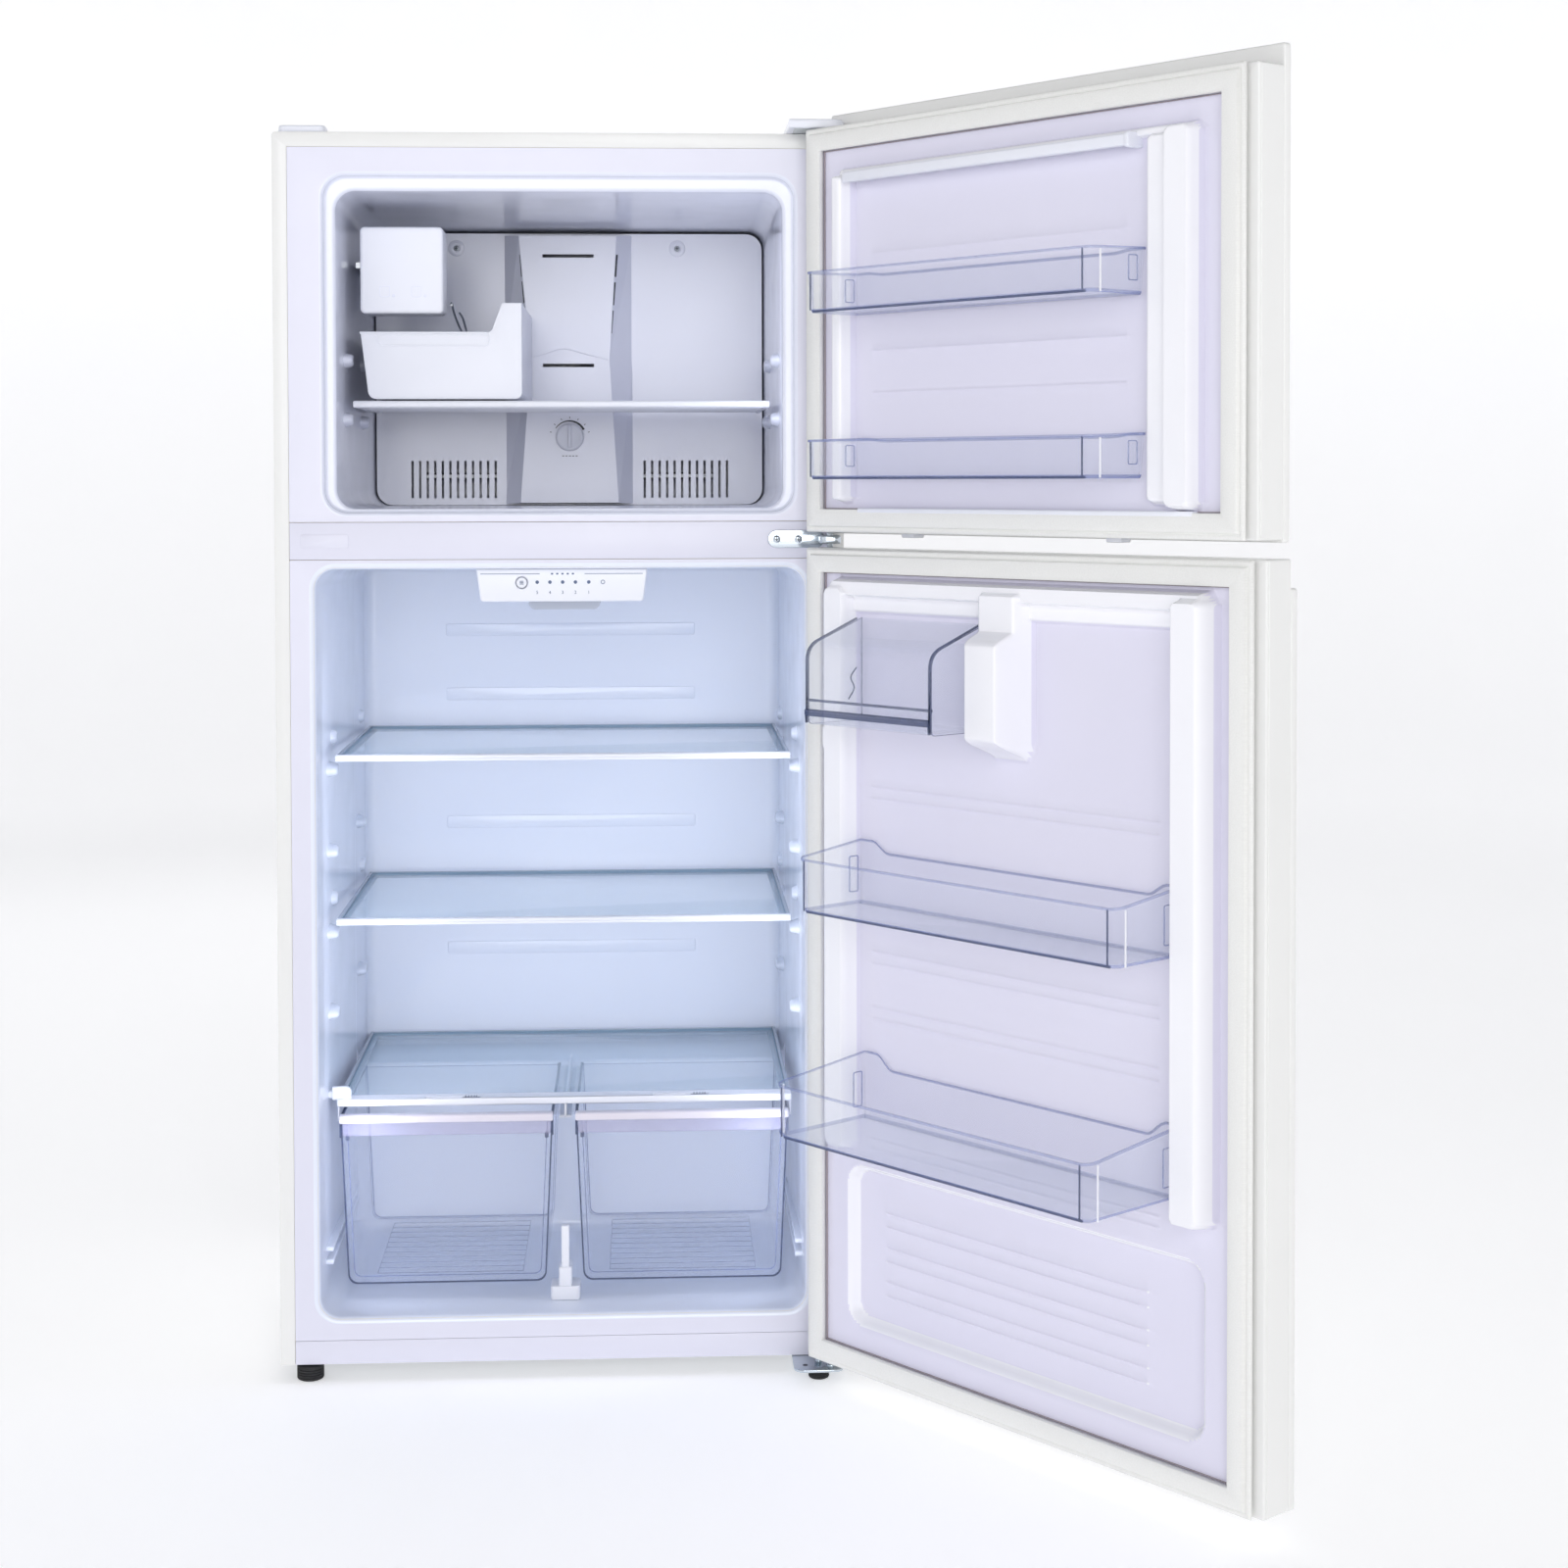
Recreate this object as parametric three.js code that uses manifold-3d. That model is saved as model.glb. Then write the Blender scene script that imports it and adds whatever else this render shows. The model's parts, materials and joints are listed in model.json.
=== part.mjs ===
// Top freezer refrigerator, millimetres, +Z up.
// Everything is laid out from the middle of the cabinet's front edge on the floor: X to the right as
// seen from the front, Y to the back. The last lines move the whole object so that its origin is the
// middle of the floor area that it covers with both doors open.
import * as THREE from 'three';
import { mergeVertices } from 'three/addons/utils/BufferGeometryUtils.js';
import Module from 'manifold-3d';

const wasm = await Module();
wasm.setup();

// ---------- driving dimensions ----------
const CASE = { width: 756, top: 1664, depth: 625, bottom: 22, sheet: 1.2, lip: 19.6 };
const PLASTIC = 2;                 // wall of every vacuum-formed or moulded liner
const CLEAR = 2.4;                 // wall of the clear drawers and bins
const GAP = 0.3;                   // clearance between pieces that touch
const HALF = CASE.width / 2;
const FACE = HALF - CASE.lip;      // half-width of the plastic front face inside the steel lip

// compartments: half-width and height at the mouth, half-width and ceiling at the back
const FREEZER = { half: 297, low: 1166, high: 1588, backHalf: 291, backHigh: 1576, depth: 560, corner: 26 };
const RIM = { half: 311.7, low: 1161, high: 1607, depth: 14, corner: 30 };
const FRIDGE = { half: 324.7, low: 84.4, high: 1085.7, backHalf: 317, backHigh: 1078, depth: 530, corner: 26 };
const SEAMS = [54.1, 1098.4, 1148.4];   // base rail | fridge liner | mullion | freezer liner
const MACHINE = { front: 412, top: 300 };
const STEP = { front: 396, top: 338 };  // the fridge liner's step over the machine space

const SHELF = { half: 310.7, front: 85, back: 520.8, levels: [602.3, 826.7], rebate: 7, rail: 15 };
const PANE = { below: 3, above: 1.2 };  // from a shelf's level down to the rebate and up to the glass face
const SPARE_LEVELS = [492, 714];
const COVER_Z = 355.8;                  // top of the crisper cover
const COIL_COVER = { front: 458, tower: 425, half: 289.5, thickness: 3 };

// doors, in their closed place
const HINGE = { x: 356.6, y: -38.5 };
const DOOR = { inner: -12.7, thickness: 59.2, skin: 12, half: HALF };
const FREEZER_DOOR = { angle: 127.6, low: 1135, high: 1662, skinLow: 1132, skinHigh: 1687 };
const FRIDGE_DOOR = { angle: 128.8, low: 38, high: 1114, skinLow: 36, skinHigh: 1081 };
const STUD = { radius: 5, hole: 5.6 };
const LEFT_FOOT = { x: -340, y: 14, radius: 18, pad: 20, top: 46 };
const RIGHT_FOOT = { x: 341, y: -22, radius: 14, pad: 16, top: 34 };
const GASKET = { outer: 366, height: 12, bead: 8, band: 22, foot: 12 };
const FAR = 700;                        // past the cabinet in any direction, for cutting tools

const ROUND = 4;                        // segments in a quarter of a rounded corner

// ---------- helpers ----------
/** A closed three.js geometry as a manifold solid. */
function solid(geometry) {
  geometry.deleteAttribute('normal');
  geometry.deleteAttribute('uv');
  const merged = mergeVertices(geometry, 1e-4);
  return new wasm.Manifold(new wasm.Mesh({
    numProp: 3,
    vertProperties: new Float32Array(merged.attributes.position.array),
    triVerts: new Uint32Array(merged.index.array),
  }));
}

/** A manifold solid back as a three.js geometry. */
function geometryOf(body) {
  const mesh = body.getMesh();
  const geometry = new THREE.BufferGeometry();
  geometry.setAttribute('position', new THREE.BufferAttribute(mesh.vertProperties, 3));
  geometry.setIndex(new THREE.BufferAttribute(mesh.triVerts, 1));
  geometry.computeVertexNormals();
  return geometry;
}

const join = (...bodies) => bodies.flat().reduce((whole, body) => whole.add(body));
const cut = (body, ...tools) => tools.flat().reduce((rest, tool) => rest.subtract(tool), body);
const mirrored = (make) => [-1, 1].map(make);

/** A box from three [low, high] spans. */
function block(x, y, z) {
  const geometry = new THREE.BoxGeometry(x[1] - x[0], y[1] - y[0], z[1] - z[0]);
  geometry.translate((x[0] + x[1]) / 2, (y[0] + y[1]) / 2, (z[0] + z[1]) / 2);
  return solid(geometry);
}

/** A rounded rectangle; u and v are [low, high] spans. */
function roundedRect(u, v, radius) {
  const r = Math.min(radius, (u[1] - u[0]) / 2 - 0.1, (v[1] - v[0]) / 2 - 0.1);
  const shape = new THREE.Shape();
  shape.absarc(u[1] - r, v[0] + r, r, -Math.PI / 2, 0);
  shape.absarc(u[1] - r, v[1] - r, r, 0, Math.PI / 2);
  shape.absarc(u[0] + r, v[1] - r, r, Math.PI / 2, Math.PI);
  shape.absarc(u[0] + r, v[0] + r, r, Math.PI, Math.PI * 1.5);
  shape.closePath();
  return shape;
}

const polygon = (...points) => new THREE.Shape(points.map(([u, v]) => new THREE.Vector2(u, v)));

// where a drawn outline's u, v and depth go: along X it is drawn in Y-Z, along Y in X-Z
const AXES = {
  x: new THREE.Matrix4().makeBasis(
    new THREE.Vector3(0, 1, 0), new THREE.Vector3(0, 0, 1), new THREE.Vector3(1, 0, 0)),
  y: new THREE.Matrix4().makeBasis(
    new THREE.Vector3(1, 0, 0), new THREE.Vector3(0, 0, 1), new THREE.Vector3(0, -1, 0)),
  z: new THREE.Matrix4(),
};

/** An outline pushed from one place to another along an axis. */
function prism(axis, shape, [from, to], segments = ROUND) {
  const geometry = new THREE.ExtrudeGeometry(shape, {
    depth: to - from, bevelEnabled: false, curveSegments: segments,
  });
  geometry.applyMatrix4(AXES[axis]);
  const start = axis === 'y' ? to : from;
  geometry.translate(...['x', 'y', 'z'].map((name) => (name === axis ? start : 0)));
  return solid(geometry);
}

/** A tapering prism along Y: spans and corner radius at the front, spans at the back. */
function tub(front, back, y, radius) {
  const geometry = new THREE.ExtrudeGeometry(roundedRect(front.x, front.z, radius), {
    depth: 1, bevelEnabled: false, curveSegments: ROUND,
  });
  const place = geometry.attributes.position;
  const carry = (value, from, to) => to[0] + (value - from[0]) * (to[1] - to[0]) / (from[1] - from[0]);
  for (let i = 0; i < place.count; i++) {
    const [u, v, ahead] = [place.getX(i), place.getY(i), place.getZ(i)];
    const x = ahead ? u : carry(u, front.x, back.x);
    const z = ahead ? v : carry(v, front.z, back.z);
    place.setXYZ(i, x, ahead ? y[0] : y[1], z);
  }
  return solid(geometry);
}

/** A solid between a front and a back outline with the same number of points, along Y. */
function loft(front, back, y) {
  const geometry = new THREE.ExtrudeGeometry(polygon(...front), { depth: 1, bevelEnabled: false });
  const place = geometry.attributes.position;
  for (let i = 0; i < place.count; i++) {
    const [u, v, ahead] = [place.getX(i), place.getY(i), place.getZ(i)];
    const index = front.findIndex((p) => Math.hypot(p[0] - u, p[1] - v) < 1e-3);
    const [x, z] = ahead ? front[index] : back[index];
    place.setXYZ(i, x, ahead ? y[0] : y[1], z);
  }
  return solid(geometry);
}

/** A round bar centred at a point along an axis. */
function rod(axis, centre, radius, length, sides = 16) {
  const geometry = new THREE.CylinderGeometry(radius, radius, length, sides);
  if (axis === 'x') geometry.rotateZ(Math.PI / 2);
  if (axis === 'z') geometry.rotateX(Math.PI / 2);
  geometry.translate(...centre);
  return solid(geometry);
}

/** A wire of eight sides through a list of points. */
function wire(points, radius, steps) {
  const path = new THREE.CatmullRomCurve3(points.map((p) => new THREE.Vector3(...p)), false, 'centripetal');
  const section = new THREE.Shape().absarc(0, 0, radius, 0, Math.PI * 2);
  return solid(new THREE.ExtrudeGeometry(section, {
    extrudePath: path, steps, bevelEnabled: false, curveSegments: 4,
  }));
}

/** An open-topped tray: a box with rounded upright edges, hollowed from above. */
function tray(x, y, z, radius, wall) {
  const outer = prism('z', roundedRect(x, y, radius), z, 3);
  const inside = prism('z', roundedRect([x[0] + wall, x[1] - wall], [y[0] + wall, y[1] - wall],
    Math.max(radius - wall, 1)), [z[0] + wall, z[1] + 50], 3);
  return cut(outer, inside);
}

/** A span on the right, or the same span mirrored to the left. */
const sided = (side, [low, high]) => (side < 0 ? [-high, -low] : [low, high]);
const grown = (span, by) => [span[0] - by, span[1] + by];
const even = (half) => [-half, half];

// ---------- materials ----------
const surface = (color, roughness, metalness = 0) =>
  new THREE.MeshStandardMaterial({ color, roughness, metalness });
const clear = (color) => new THREE.MeshStandardMaterial({
  color, roughness: 0.05, metalness: 0, transparent: true, opacity: 0.4,
});
const WHITE_PAINT = surface('#eeeeec', 0.35);
const WHITE_PLASTIC = surface('#f2f2f4', 0.4);
const LINER = surface('#dfe3f4', 0.25);
const DOOR_LINER = surface('#dddcf0', 0.3);
const SEAL = surface('#ebebea', 0.6);
const GALVANISED = surface('#b9bdc0', 0.45, 0.9);
const CHROME = surface('#c9d2d8', 0.15, 1);
const BLACK = surface('#17181a', 0.5);
const FOAM = surface('#efe4bd', 0.9);
const GLASS = clear('#c3dcef');
const CLEAR_PLASTIC = clear('#c9d2ea');
const COPPER = surface('#b06a45', 0.35, 1);
const ALUMINIUM = surface('#c8cbce', 0.4, 1);

// ---------- scene ----------
const group = new THREE.Group();
const cabinet = new THREE.Group();
group.add(cabinet);

/** A group turned about the hinge line, whose pieces are given in the closed door's place. */
function door(degrees) {
  const pivot = new THREE.Group();
  pivot.position.set(HINGE.x, HINGE.y, 0);
  pivot.rotation.z = THREE.MathUtils.degToRad(degrees);
  const closed = new THREE.Group();
  closed.position.set(-HINGE.x, -HINGE.y, 0);
  pivot.add(closed);
  cabinet.add(pivot);
  return closed;
}

/** Names a piece and puts it in the scene. */
function place(name, material, body, parent = cabinet) {
  const mesh = new THREE.Mesh(geometryOf(body), material);
  mesh.name = name;
  parent.add(mesh);
}

// ---------- cabinet shell ----------
function outerCase() {
  const { width, top, depth, bottom, sheet, lip } = CASE;
  const inside = HALF - sheet;
  const wrap = cut(block(even(HALF), [0, depth], [bottom, top]),
    block(even(inside), [-1, depth + 1], [bottom - 1, top - sheet]));
  const returnWidth = 14;
  const bite = 0.5;                     // how far a return reaches into the wrap that it joins
  const frames = [[lip, [0, sheet]], [returnWidth, [depth - sheet, depth]]].flatMap(([reach, y]) => [
    block([-inside - bite, -HALF + reach], y, [bottom, top - bite]),
    block([HALF - reach, inside + bite], y, [bottom, top - bite]),
    block([-width / 2 + reach - 1, width / 2 - reach + 1], y, [top - reach, top - bite]),
  ]);
  return join(wrap, frames);
}

function rearPanel() {
  const y = [CASE.depth + GAP, CASE.depth + GAP + 0.8];
  const sheet = block(even(HALF - 1), y, [MACHINE.top + 4, CASE.top - 3]);
  const rib = { places: [-180, 0, 180], half: 14, height: 2.5, z: [420, 1560] };
  const ribs = rib.places.map((x) =>
    block([x - rib.half, x + rib.half], [y[0] + 0.4, y[1] + rib.height], rib.z));
  return join(sheet, ribs);
}

const cavityOf = (space, wall) => tub(
  { x: even(space.half + wall), z: [space.low - wall, space.high + wall] },
  { x: even(space.backHalf + wall), z: [space.low - wall, space.backHigh + wall] },
  [wall ? PLASTIC + 0.2 : -5, space.depth + wall], space.corner + wall);

function freezerHollow(wall) {
  const edge = { x: even(RIM.half + wall), z: [RIM.low - wall, RIM.high + wall] };
  const rim = tub(edge, edge, [wall ? PLASTIC : -5, RIM.depth + wall], RIM.corner + wall);
  return join(rim, cavityOf(FREEZER, wall));
}

function fridgeHollow(wall) {
  const stepFront = STEP.front + wall;
  return cut(cavityOf(FRIDGE, wall),
    block(even(FAR), [stepFront, FAR], [FRIDGE.low - 20, STEP.top - wall]));
}

const facePlate = (low, high) =>
  block(even(FACE - GAP), [0.2, PLASTIC + 0.2], [low + GAP, high - GAP]);

function freezerLiner() {
  const plate = facePlate(SEAMS[2], CASE.top - CASE.lip);
  const lugs = [[115, 1284, 14], [300, 1284, 14], [115, 1366, 12]];   // y, z and reach of each
  const supports = mirrored((side) => lugs.map((at) => shelfLug(side, FREEZER.half - 4, ...at))).flat();
  return join(cut(join(plate, freezerHollow(PLASTIC)), freezerHollow(0)), rooted(supports, freezerHollow));
}

/** Trims what stands on a liner's wall so that it ends inside that wall. */
const rooted = (bodies, hollow) => bodies.map((body) => body.intersect(hollow(PLASTIC / 2)));

/** A rounded lug on a side wall; reach is how far it stands into the compartment. */
function shelfLug(side, wallAt, y, z, reach) {
  const [halfLength, halfHeight, root] = [15, 8, 6];
  const outline = roundedRect(grown([y, y], halfLength), grown([z, z], halfHeight), halfHeight - 0.1);
  const span = side < 0 ? [-wallAt - root, -wallAt + reach] : [wallAt - reach, wallAt + root];
  return prism('x', outline, span, 2);
}

function fridgeLiner() {
  const plate = facePlate(SEAMS[0], SEAMS[1]);
  const lug = { wall: 319, places: [120, 440], below: 18, reach: 12 };
  const lugs = mirrored((side) => [...SHELF.levels, ...SPARE_LEVELS].flatMap((z) =>
    lug.places.map((y) => shelfLug(side, lug.wall, y, z - lug.below, lug.reach)))).flat();
  const rail = { x: [309, 325], y: [60, 380], z: [140, 152] };      // the drawers' side guides
  const rails = mirrored((side) => block(sided(side, rail.x), rail.y, rail.z));
  return join(cut(join(plate, fridgeHollow(PLASTIC)), fridgeHollow(0)), rooted([...lugs, ...rails], fridgeHollow));
}

function foam() {
  const inside = HALF - CASE.sheet - GAP;
  const body = block(even(inside), [PLASTIC + 0.5, CASE.depth - CASE.sheet - GAP],
    [CASE.bottom + PLASTIC + 1, CASE.top - CASE.sheet - GAP]);
  const machine = block(even(HALF), [MACHINE.front - GAP, CASE.depth + 1], [0, MACHINE.top + GAP]);
  const stud = rod('z', [LEFT_FOOT.x, LEFT_FOOT.y, LEFT_FOOT.top - 6], STUD.radius + 3, 60, 12);
  const baseSpace = block(even(HALF - 8), [0, 16], [0, SEAMS[0]]);
  const mullionSpace = block(even(FACE), [0, 6], [SEAMS[1] - 2, SEAMS[2] + 2]);
  return cut(body, freezerHollow(PLASTIC + GAP), fridgeHollow(PLASTIC + GAP), machine, stud,
    baseSpace, mullionSpace);
}

function mullionCover() {
  const strip = facePlate(SEAMS[1], SEAMS[2]);
  const label = prism('y', roundedRect([-344, -281], [1113.5, 1132], 3), [-0.6, 0.4], 3);
  return join(strip, label);
}

function baseRail() {
  const face = block(even(FACE - GAP), [0.2, 1.7], [CASE.bottom + GAP, SEAMS[0] - GAP]);
  const foot = block(even(FACE - GAP), [1.5, 12], [SEAMS[0] - GAP - 1.5, SEAMS[0] - GAP]);
  return join(face, foot);
}

// ---------- machine space ----------
const AXLE = { x: 318, y: 592, z: 18, radius: 3, length: 35 };
const ROLLER = { radius: 18, width: 24 };

function basePan() {
  const inside = HALF - CASE.sheet - GAP;
  const z = [CASE.bottom, CASE.bottom + 2];
  const plate = block(even(inside), [2.2, CASE.depth - CASE.sheet - 2 * GAP], z);
  const well = ROLLER.width / 2 + 2;
  const wells = mirrored((side) => block(sided(side, [AXLE.x - well, AXLE.x + well]),
    grown([AXLE.y, AXLE.y], ROLLER.radius + 4), [10, 30]));
  const studHole = rod('z', [LEFT_FOOT.x, LEFT_FOOT.y, CASE.bottom], STUD.hole, 30, 12);
  const cheek = { thickness: 2, half: 12, z: [9, 40] };
  const cheeks = mirrored((side) => [-well - 2.5, well + 0.5].map((at) => {
    const x = side * AXLE.x + at;
    return cut(block([x, x + cheek.thickness], grown([AXLE.y, AXLE.y], cheek.half), cheek.z),
      rod('x', [x + 1, AXLE.y, AXLE.z], AXLE.radius + GAP, 8, 12));
  })).flat();
  return join(cut(plate, wells, studHole), cheeks);
}

function roller(side) {
  const centre = [side * AXLE.x, AXLE.y, AXLE.z];
  return join(rod('x', centre, ROLLER.radius, ROLLER.width, 24),
    rod('x', centre, AXLE.radius, AXLE.length, 12));
}

const COVER_SHEET = 1.2;               // thickness of the cover over the machine space

function machineCover() {
  const y = [CASE.depth + GAP, CASE.depth + GAP + COVER_SHEET];
  const slot = { left: -290, low: 110, width: 46, height: 8, across: 66, up: 34, columns: 9, rows: 4 };
  const slots = [];
  for (let row = 0; row < slot.rows; row++) {
    for (let column = 0; column < slot.columns; column++) {
      const [x, z] = [slot.left + column * slot.across, slot.low + row * slot.up];
      slots.push(block([x, x + slot.width], [y[0] - 1, y[1] + 1], [z, z + slot.height]));
    }
  }
  return cut(block(even(HALF - 1), y, [CASE.bottom + 20, MACHINE.top + 3]), slots);
}

function compressor() {
  const at = [-170, 520];
  const foot = { half: [100, 30], z: [34, 42] };
  const grommet = { x: 88, y: 20, z: 29.3, radius: 8, height: 10 };
  const profile = [[0, 38], [70, 38], [84, 60], [88, 120], [80, 170], [48, 196], [0, 202]];
  const shell = new THREE.LatheGeometry(profile.map(([r, z]) => new THREE.Vector2(r, z)), 20);
  shell.rotateX(Math.PI / 2);
  shell.translate(at[0], at[1], 0);
  const feet = block(grown([at[0], at[0]], foot.half[0]), grown([at[1], at[1]], foot.half[1]), foot.z);
  const grommets = even(grommet.x).flatMap((x) => even(grommet.y).map((y) =>
    rod('z', [at[0] + x, at[1] + y, grommet.z], grommet.radius, grommet.height, 10)));
  const stub = rod('z', [at[0] + 60, at[1] - 20, 200], 5, 90, 8);   // the pipe that leaves its top
  return join(solid(shell), feet, grommets, stub);
}

function condenserCoil() {
  const fin = { count: 5, left: 80, pitch: 34, thickness: 1.5, y: [452, 572], z: [70, 210] };
  const fins = Array.from({ length: fin.count }, (_, i) => {
    const x = fin.left + i * fin.pitch;
    return block([x, x + fin.thickness], fin.y, fin.z);
  });
  const tube = { middle: 148, length: 196, radius: 5, y: [480, 540], z: [110, 180] };
  const tubes = tube.z.flatMap((z) =>
    tube.y.map((y) => rod('x', [tube.middle, y, z], tube.radius, tube.length, 6)));
  const ends = mirrored((side) => {
    const x = tube.middle + side * (tube.length / 2 - 2);
    return block([x - fin.thickness, x + fin.thickness], [448, 576], [CASE.bottom + 2 + GAP, 214]);
  });
  return join(fins[0], fins.slice(1), tubes, ends);
}

/** An axial fan: a hub with slanted blades; axis is x or y. */
function fan(axis, centre, radius, depth, blades) {
  const hub = rod(axis, centre, radius * 0.3, depth, 16);
  const vanes = Array.from({ length: blades }, (_, i) => {
    const [bladeThickness, bladePitch] = [2.4, 28];
    const blade = new THREE.BoxGeometry(radius * 0.62, bladeThickness, radius * 0.75);
    blade.rotateX(THREE.MathUtils.degToRad(bladePitch));
    blade.translate(radius * 0.6, 0, 0);
    blade.rotateY((i / blades) * Math.PI * 2);
    if (axis === 'x') blade.rotateZ(Math.PI / 2);
    blade.translate(...centre);
    return solid(blade);
  });
  return join(hub, vanes);
}

function drainPan() {
  const [x, y, z] = [[-60, 45], [450, 590], [60, 84]];
  const leg = { radius: 4, middle: 43, length: 37.4 };
  const legs = grown(x, -10).flatMap((u) => grown(y, -10).map((v) =>
    rod('z', [u, v, leg.middle], leg.radius, leg.length, 8)));
  return join(tray(x, y, z, 10, PLASTIC), legs);
}

function cordGland() {
  const y = CASE.depth + GAP + COVER_SHEET + GAP;
  const [x, z] = [-297, 273];
  const plate = prism('y', roundedRect(grown([x, x], 21), grown([z, z], 17), 5), [y, y + 3], 3);
  const inlet = rod('y', [x, y + 6, z], 11, 10, 16);
  return cut(join(plate, inlet), rod('y', [x, y + 9, z], 5, 12, 12));
}

function waterValve() {
  const y = CASE.depth + GAP + COVER_SHEET + GAP;
  const plate = block([262, 330], [y, y + 2], [232, 290]);
  const body = prism('y', roundedRect([276, 316], [246, 276], 5), [y + 1, y + 26], 3);
  return join(plate, body, rod('z', [296, y + 16, 232], 7, 34, 12));
}

// ---------- freezer compartment ----------
const TOWER = {
  face: [[-74, 1568], [-57, 1383], [-73, 1170], [73, 1170], [60, 1383], [71, 1568]],
  root: [[-99, 1571], [-99, 1383], [-99, 1168], [96, 1168], [96, 1383], [96, 1571]],
};

function evaporatorCover() {
  const { front, tower, half, thickness } = COIL_COVER;
  const back = front + thickness;
  const panel = prism('y', roundedRect(even(half), [FREEZER.low + 0.6, 1574], 24), [front, back]);
  const duct = loft(TOWER.face, TOWER.root, [tower, back]);
  const margin = 4;                     // from the tower's outline in to its hollow
  const towardsMiddle = (z) => (z < 1300 ? margin : z > 1500 ? -margin : 0);
  const inset = (points) => points.map(([x, z]) => [x - Math.sign(x) * margin, z + towardsMiddle(z)]);
  const channel = loft(inset(TOWER.face), inset(TOWER.root), [tower + 2.5, back + 1]);
  const slot = { count: 12, first: 112, pitch: 11.3, half: 1.8, z: [1177, 1233] };
  const slots = mirrored((side) => Array.from({ length: slot.count }, (_, i) => {
    const x = side * (slot.first + i * slot.pitch);
    return block([x - slot.half, x + slot.half], [front - 1, back + 1], slot.z);
  })).flat();
  const outlet = { x: [-39, 37], levels: [1538, 1375], half: 2.5 };
  const outlets = outlet.levels.map((z) =>
    block(outlet.x, [tower - 1, tower + 4], [z - outlet.half, z + outlet.half]));
  return cut(join(panel, duct), channel, slots, outlets);
}

function evaporatorCoil() {
  const fins = [-200, -100, 0, 100, 200].map((x) => block([x - 1, x + 1], [478, 548], [1180, 1350]));
  const tubes = [1210, 1265, 1320].map((z) => rod('x', [0, 513, z], 5, 440, 6));
  return join(fins[0], fins.slice(1), tubes);
}

function temperatureKnob() {
  const face = COIL_COVER.tower - GAP;
  const { x, z, radius, depth } = { x: 0.5, z: 1268, radius: 21, depth: 10 };
  const disc = rod('y', [x, face - depth / 2, z], radius, depth, 28);
  const grip = block([x - 3, x + 3], [face - 14, face - 8], [z - 18, z + 18]);
  return join(disc, grip);
}

const ICE_MAKER = { x: [-275, -162], z: [1432, 1550], front: 110, depth: 62, wall: 2.5 };

function iceMakerHousing() {
  const { x, z, front, depth, wall } = ICE_MAKER;
  const hood = prism('y', roundedRect(x, z, 7), [front, front + depth], 3);
  const hollow = block(grown(x, -wall), [front + wall, front + depth + 8], grown(z, -wall));
  return cut(hood, hollow);
}

function iceMould() {
  const y = [ICE_MAKER.front + 8, 380];
  const shell = prism('y', roundedRect([-262, -180], [1470, 1520], 8), y, 3);
  const pocket = { count: 6, first: 184, pitch: 32, length: 26 };
  const pockets = Array.from({ length: pocket.count }, (_, i) => {
    const start = pocket.first + i * pocket.pitch;
    return block([-252, -190], [start, start + pocket.length], [1482, 1560]);
  });
  const bracket = block([-289, -258], [190, 370], [1500, 1508]);
  const neck = block([-245, -235], [118, 150], [1440, 1475]);
  return join(cut(shell, pockets), bracket, neck);
}

function feelerArm() {
  const x = -155;
  return wire([
    [x + 1, 150, 1446], [x, 172, 1449], [x + 3, 200, 1432], [x + 9, 240, 1414], [x + 10, 290, 1412],
    [x + 9, 340, 1418], [x + 2, 366, 1440], [x - 4, 380, 1450],
  ], 1.6, 16);
}

const ICE_BIN = { x: [-274, -55], y: [101, 420], low: 1314.6, rim: 1406, tall: 1446, wall: 2.5 };

function iceBin() {
  const { x, y, low, rim, tall, wall } = ICE_BIN;
  const outline = polygon([x[0], rim], [x[0] + 11, low + 6], [x[0] + 16, low], [x[1] - 4, low],
    [x[1], low + 5], [x[1], tall], [x[1] - 27, tall], [x[1] - 33, tall - 4], [x[1] - 40, rim + 4],
    [x[1] - 44, rim]);
  const above = tall + 54;              // the hollow is cut well past the rim
  const inner = polygon([x[0] + wall, above], [x[0] + wall, rim - 1],
    [x[0] + 13.5, low + 6 + wall / 2], [x[0] + 17, low + wall],
    [x[1] - wall - 3, low + wall], [x[1] - wall, low + wall + 4], [x[1] - wall, above]);
  const body = cut(prism('y', outline, y), prism('y', inner, [y[0] + wall, y[1] - wall]));
  const grip = { x: [-251, -98], z: [rim - 21, rim + 14], depth: 1.2 };
  const groove = prism('y', roundedRect(grip.x, grip.z, 5), [y[0] - 1, y[0] + grip.depth], 3);
  return cut(body, groove);
}

function freezerShelf() {
  const [half, y] = [283.5, [96, 415]];
  const plate = block(even(half - 0.5), y, [1306, 1311]);
  const front = prism('x', roundedRect([92, 102], [1303, 1312], 3), even(half), 3);
  const cheeks = mirrored((side) => block(sided(side, [277, half]), y, [1303, 1311.5]));
  return join(plate, front, cheeks);
}

// ---------- fridge compartment ----------
const BUTTON = { x: -53, z: 1066.5, radius: 7, length: 11 };

function controlPanel() {
  const front = [[-113.8, 1085], [-108, 1041], [110, 1041], [115.2, 1085]];
  const back = [[-113.8, 1080.5], [-108, 1037], [110, 1037], [115.2, 1080.5]];
  const body = loft(front, back, [22, 170]);
  const buttonHole = rod('y', [BUTTON.x, 24, BUTTON.z], BUTTON.radius + 0.4, 20, 16);
  const lampSpace = block([-54, 60], [50, 160], [1020, 1062]);
  return cut(body, buttonHole, lampSpace);
}

function setButton() {
  return rod('y', [BUTTON.x, 26, BUTTON.z], BUTTON.radius, BUTTON.length, 16);
}

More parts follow.
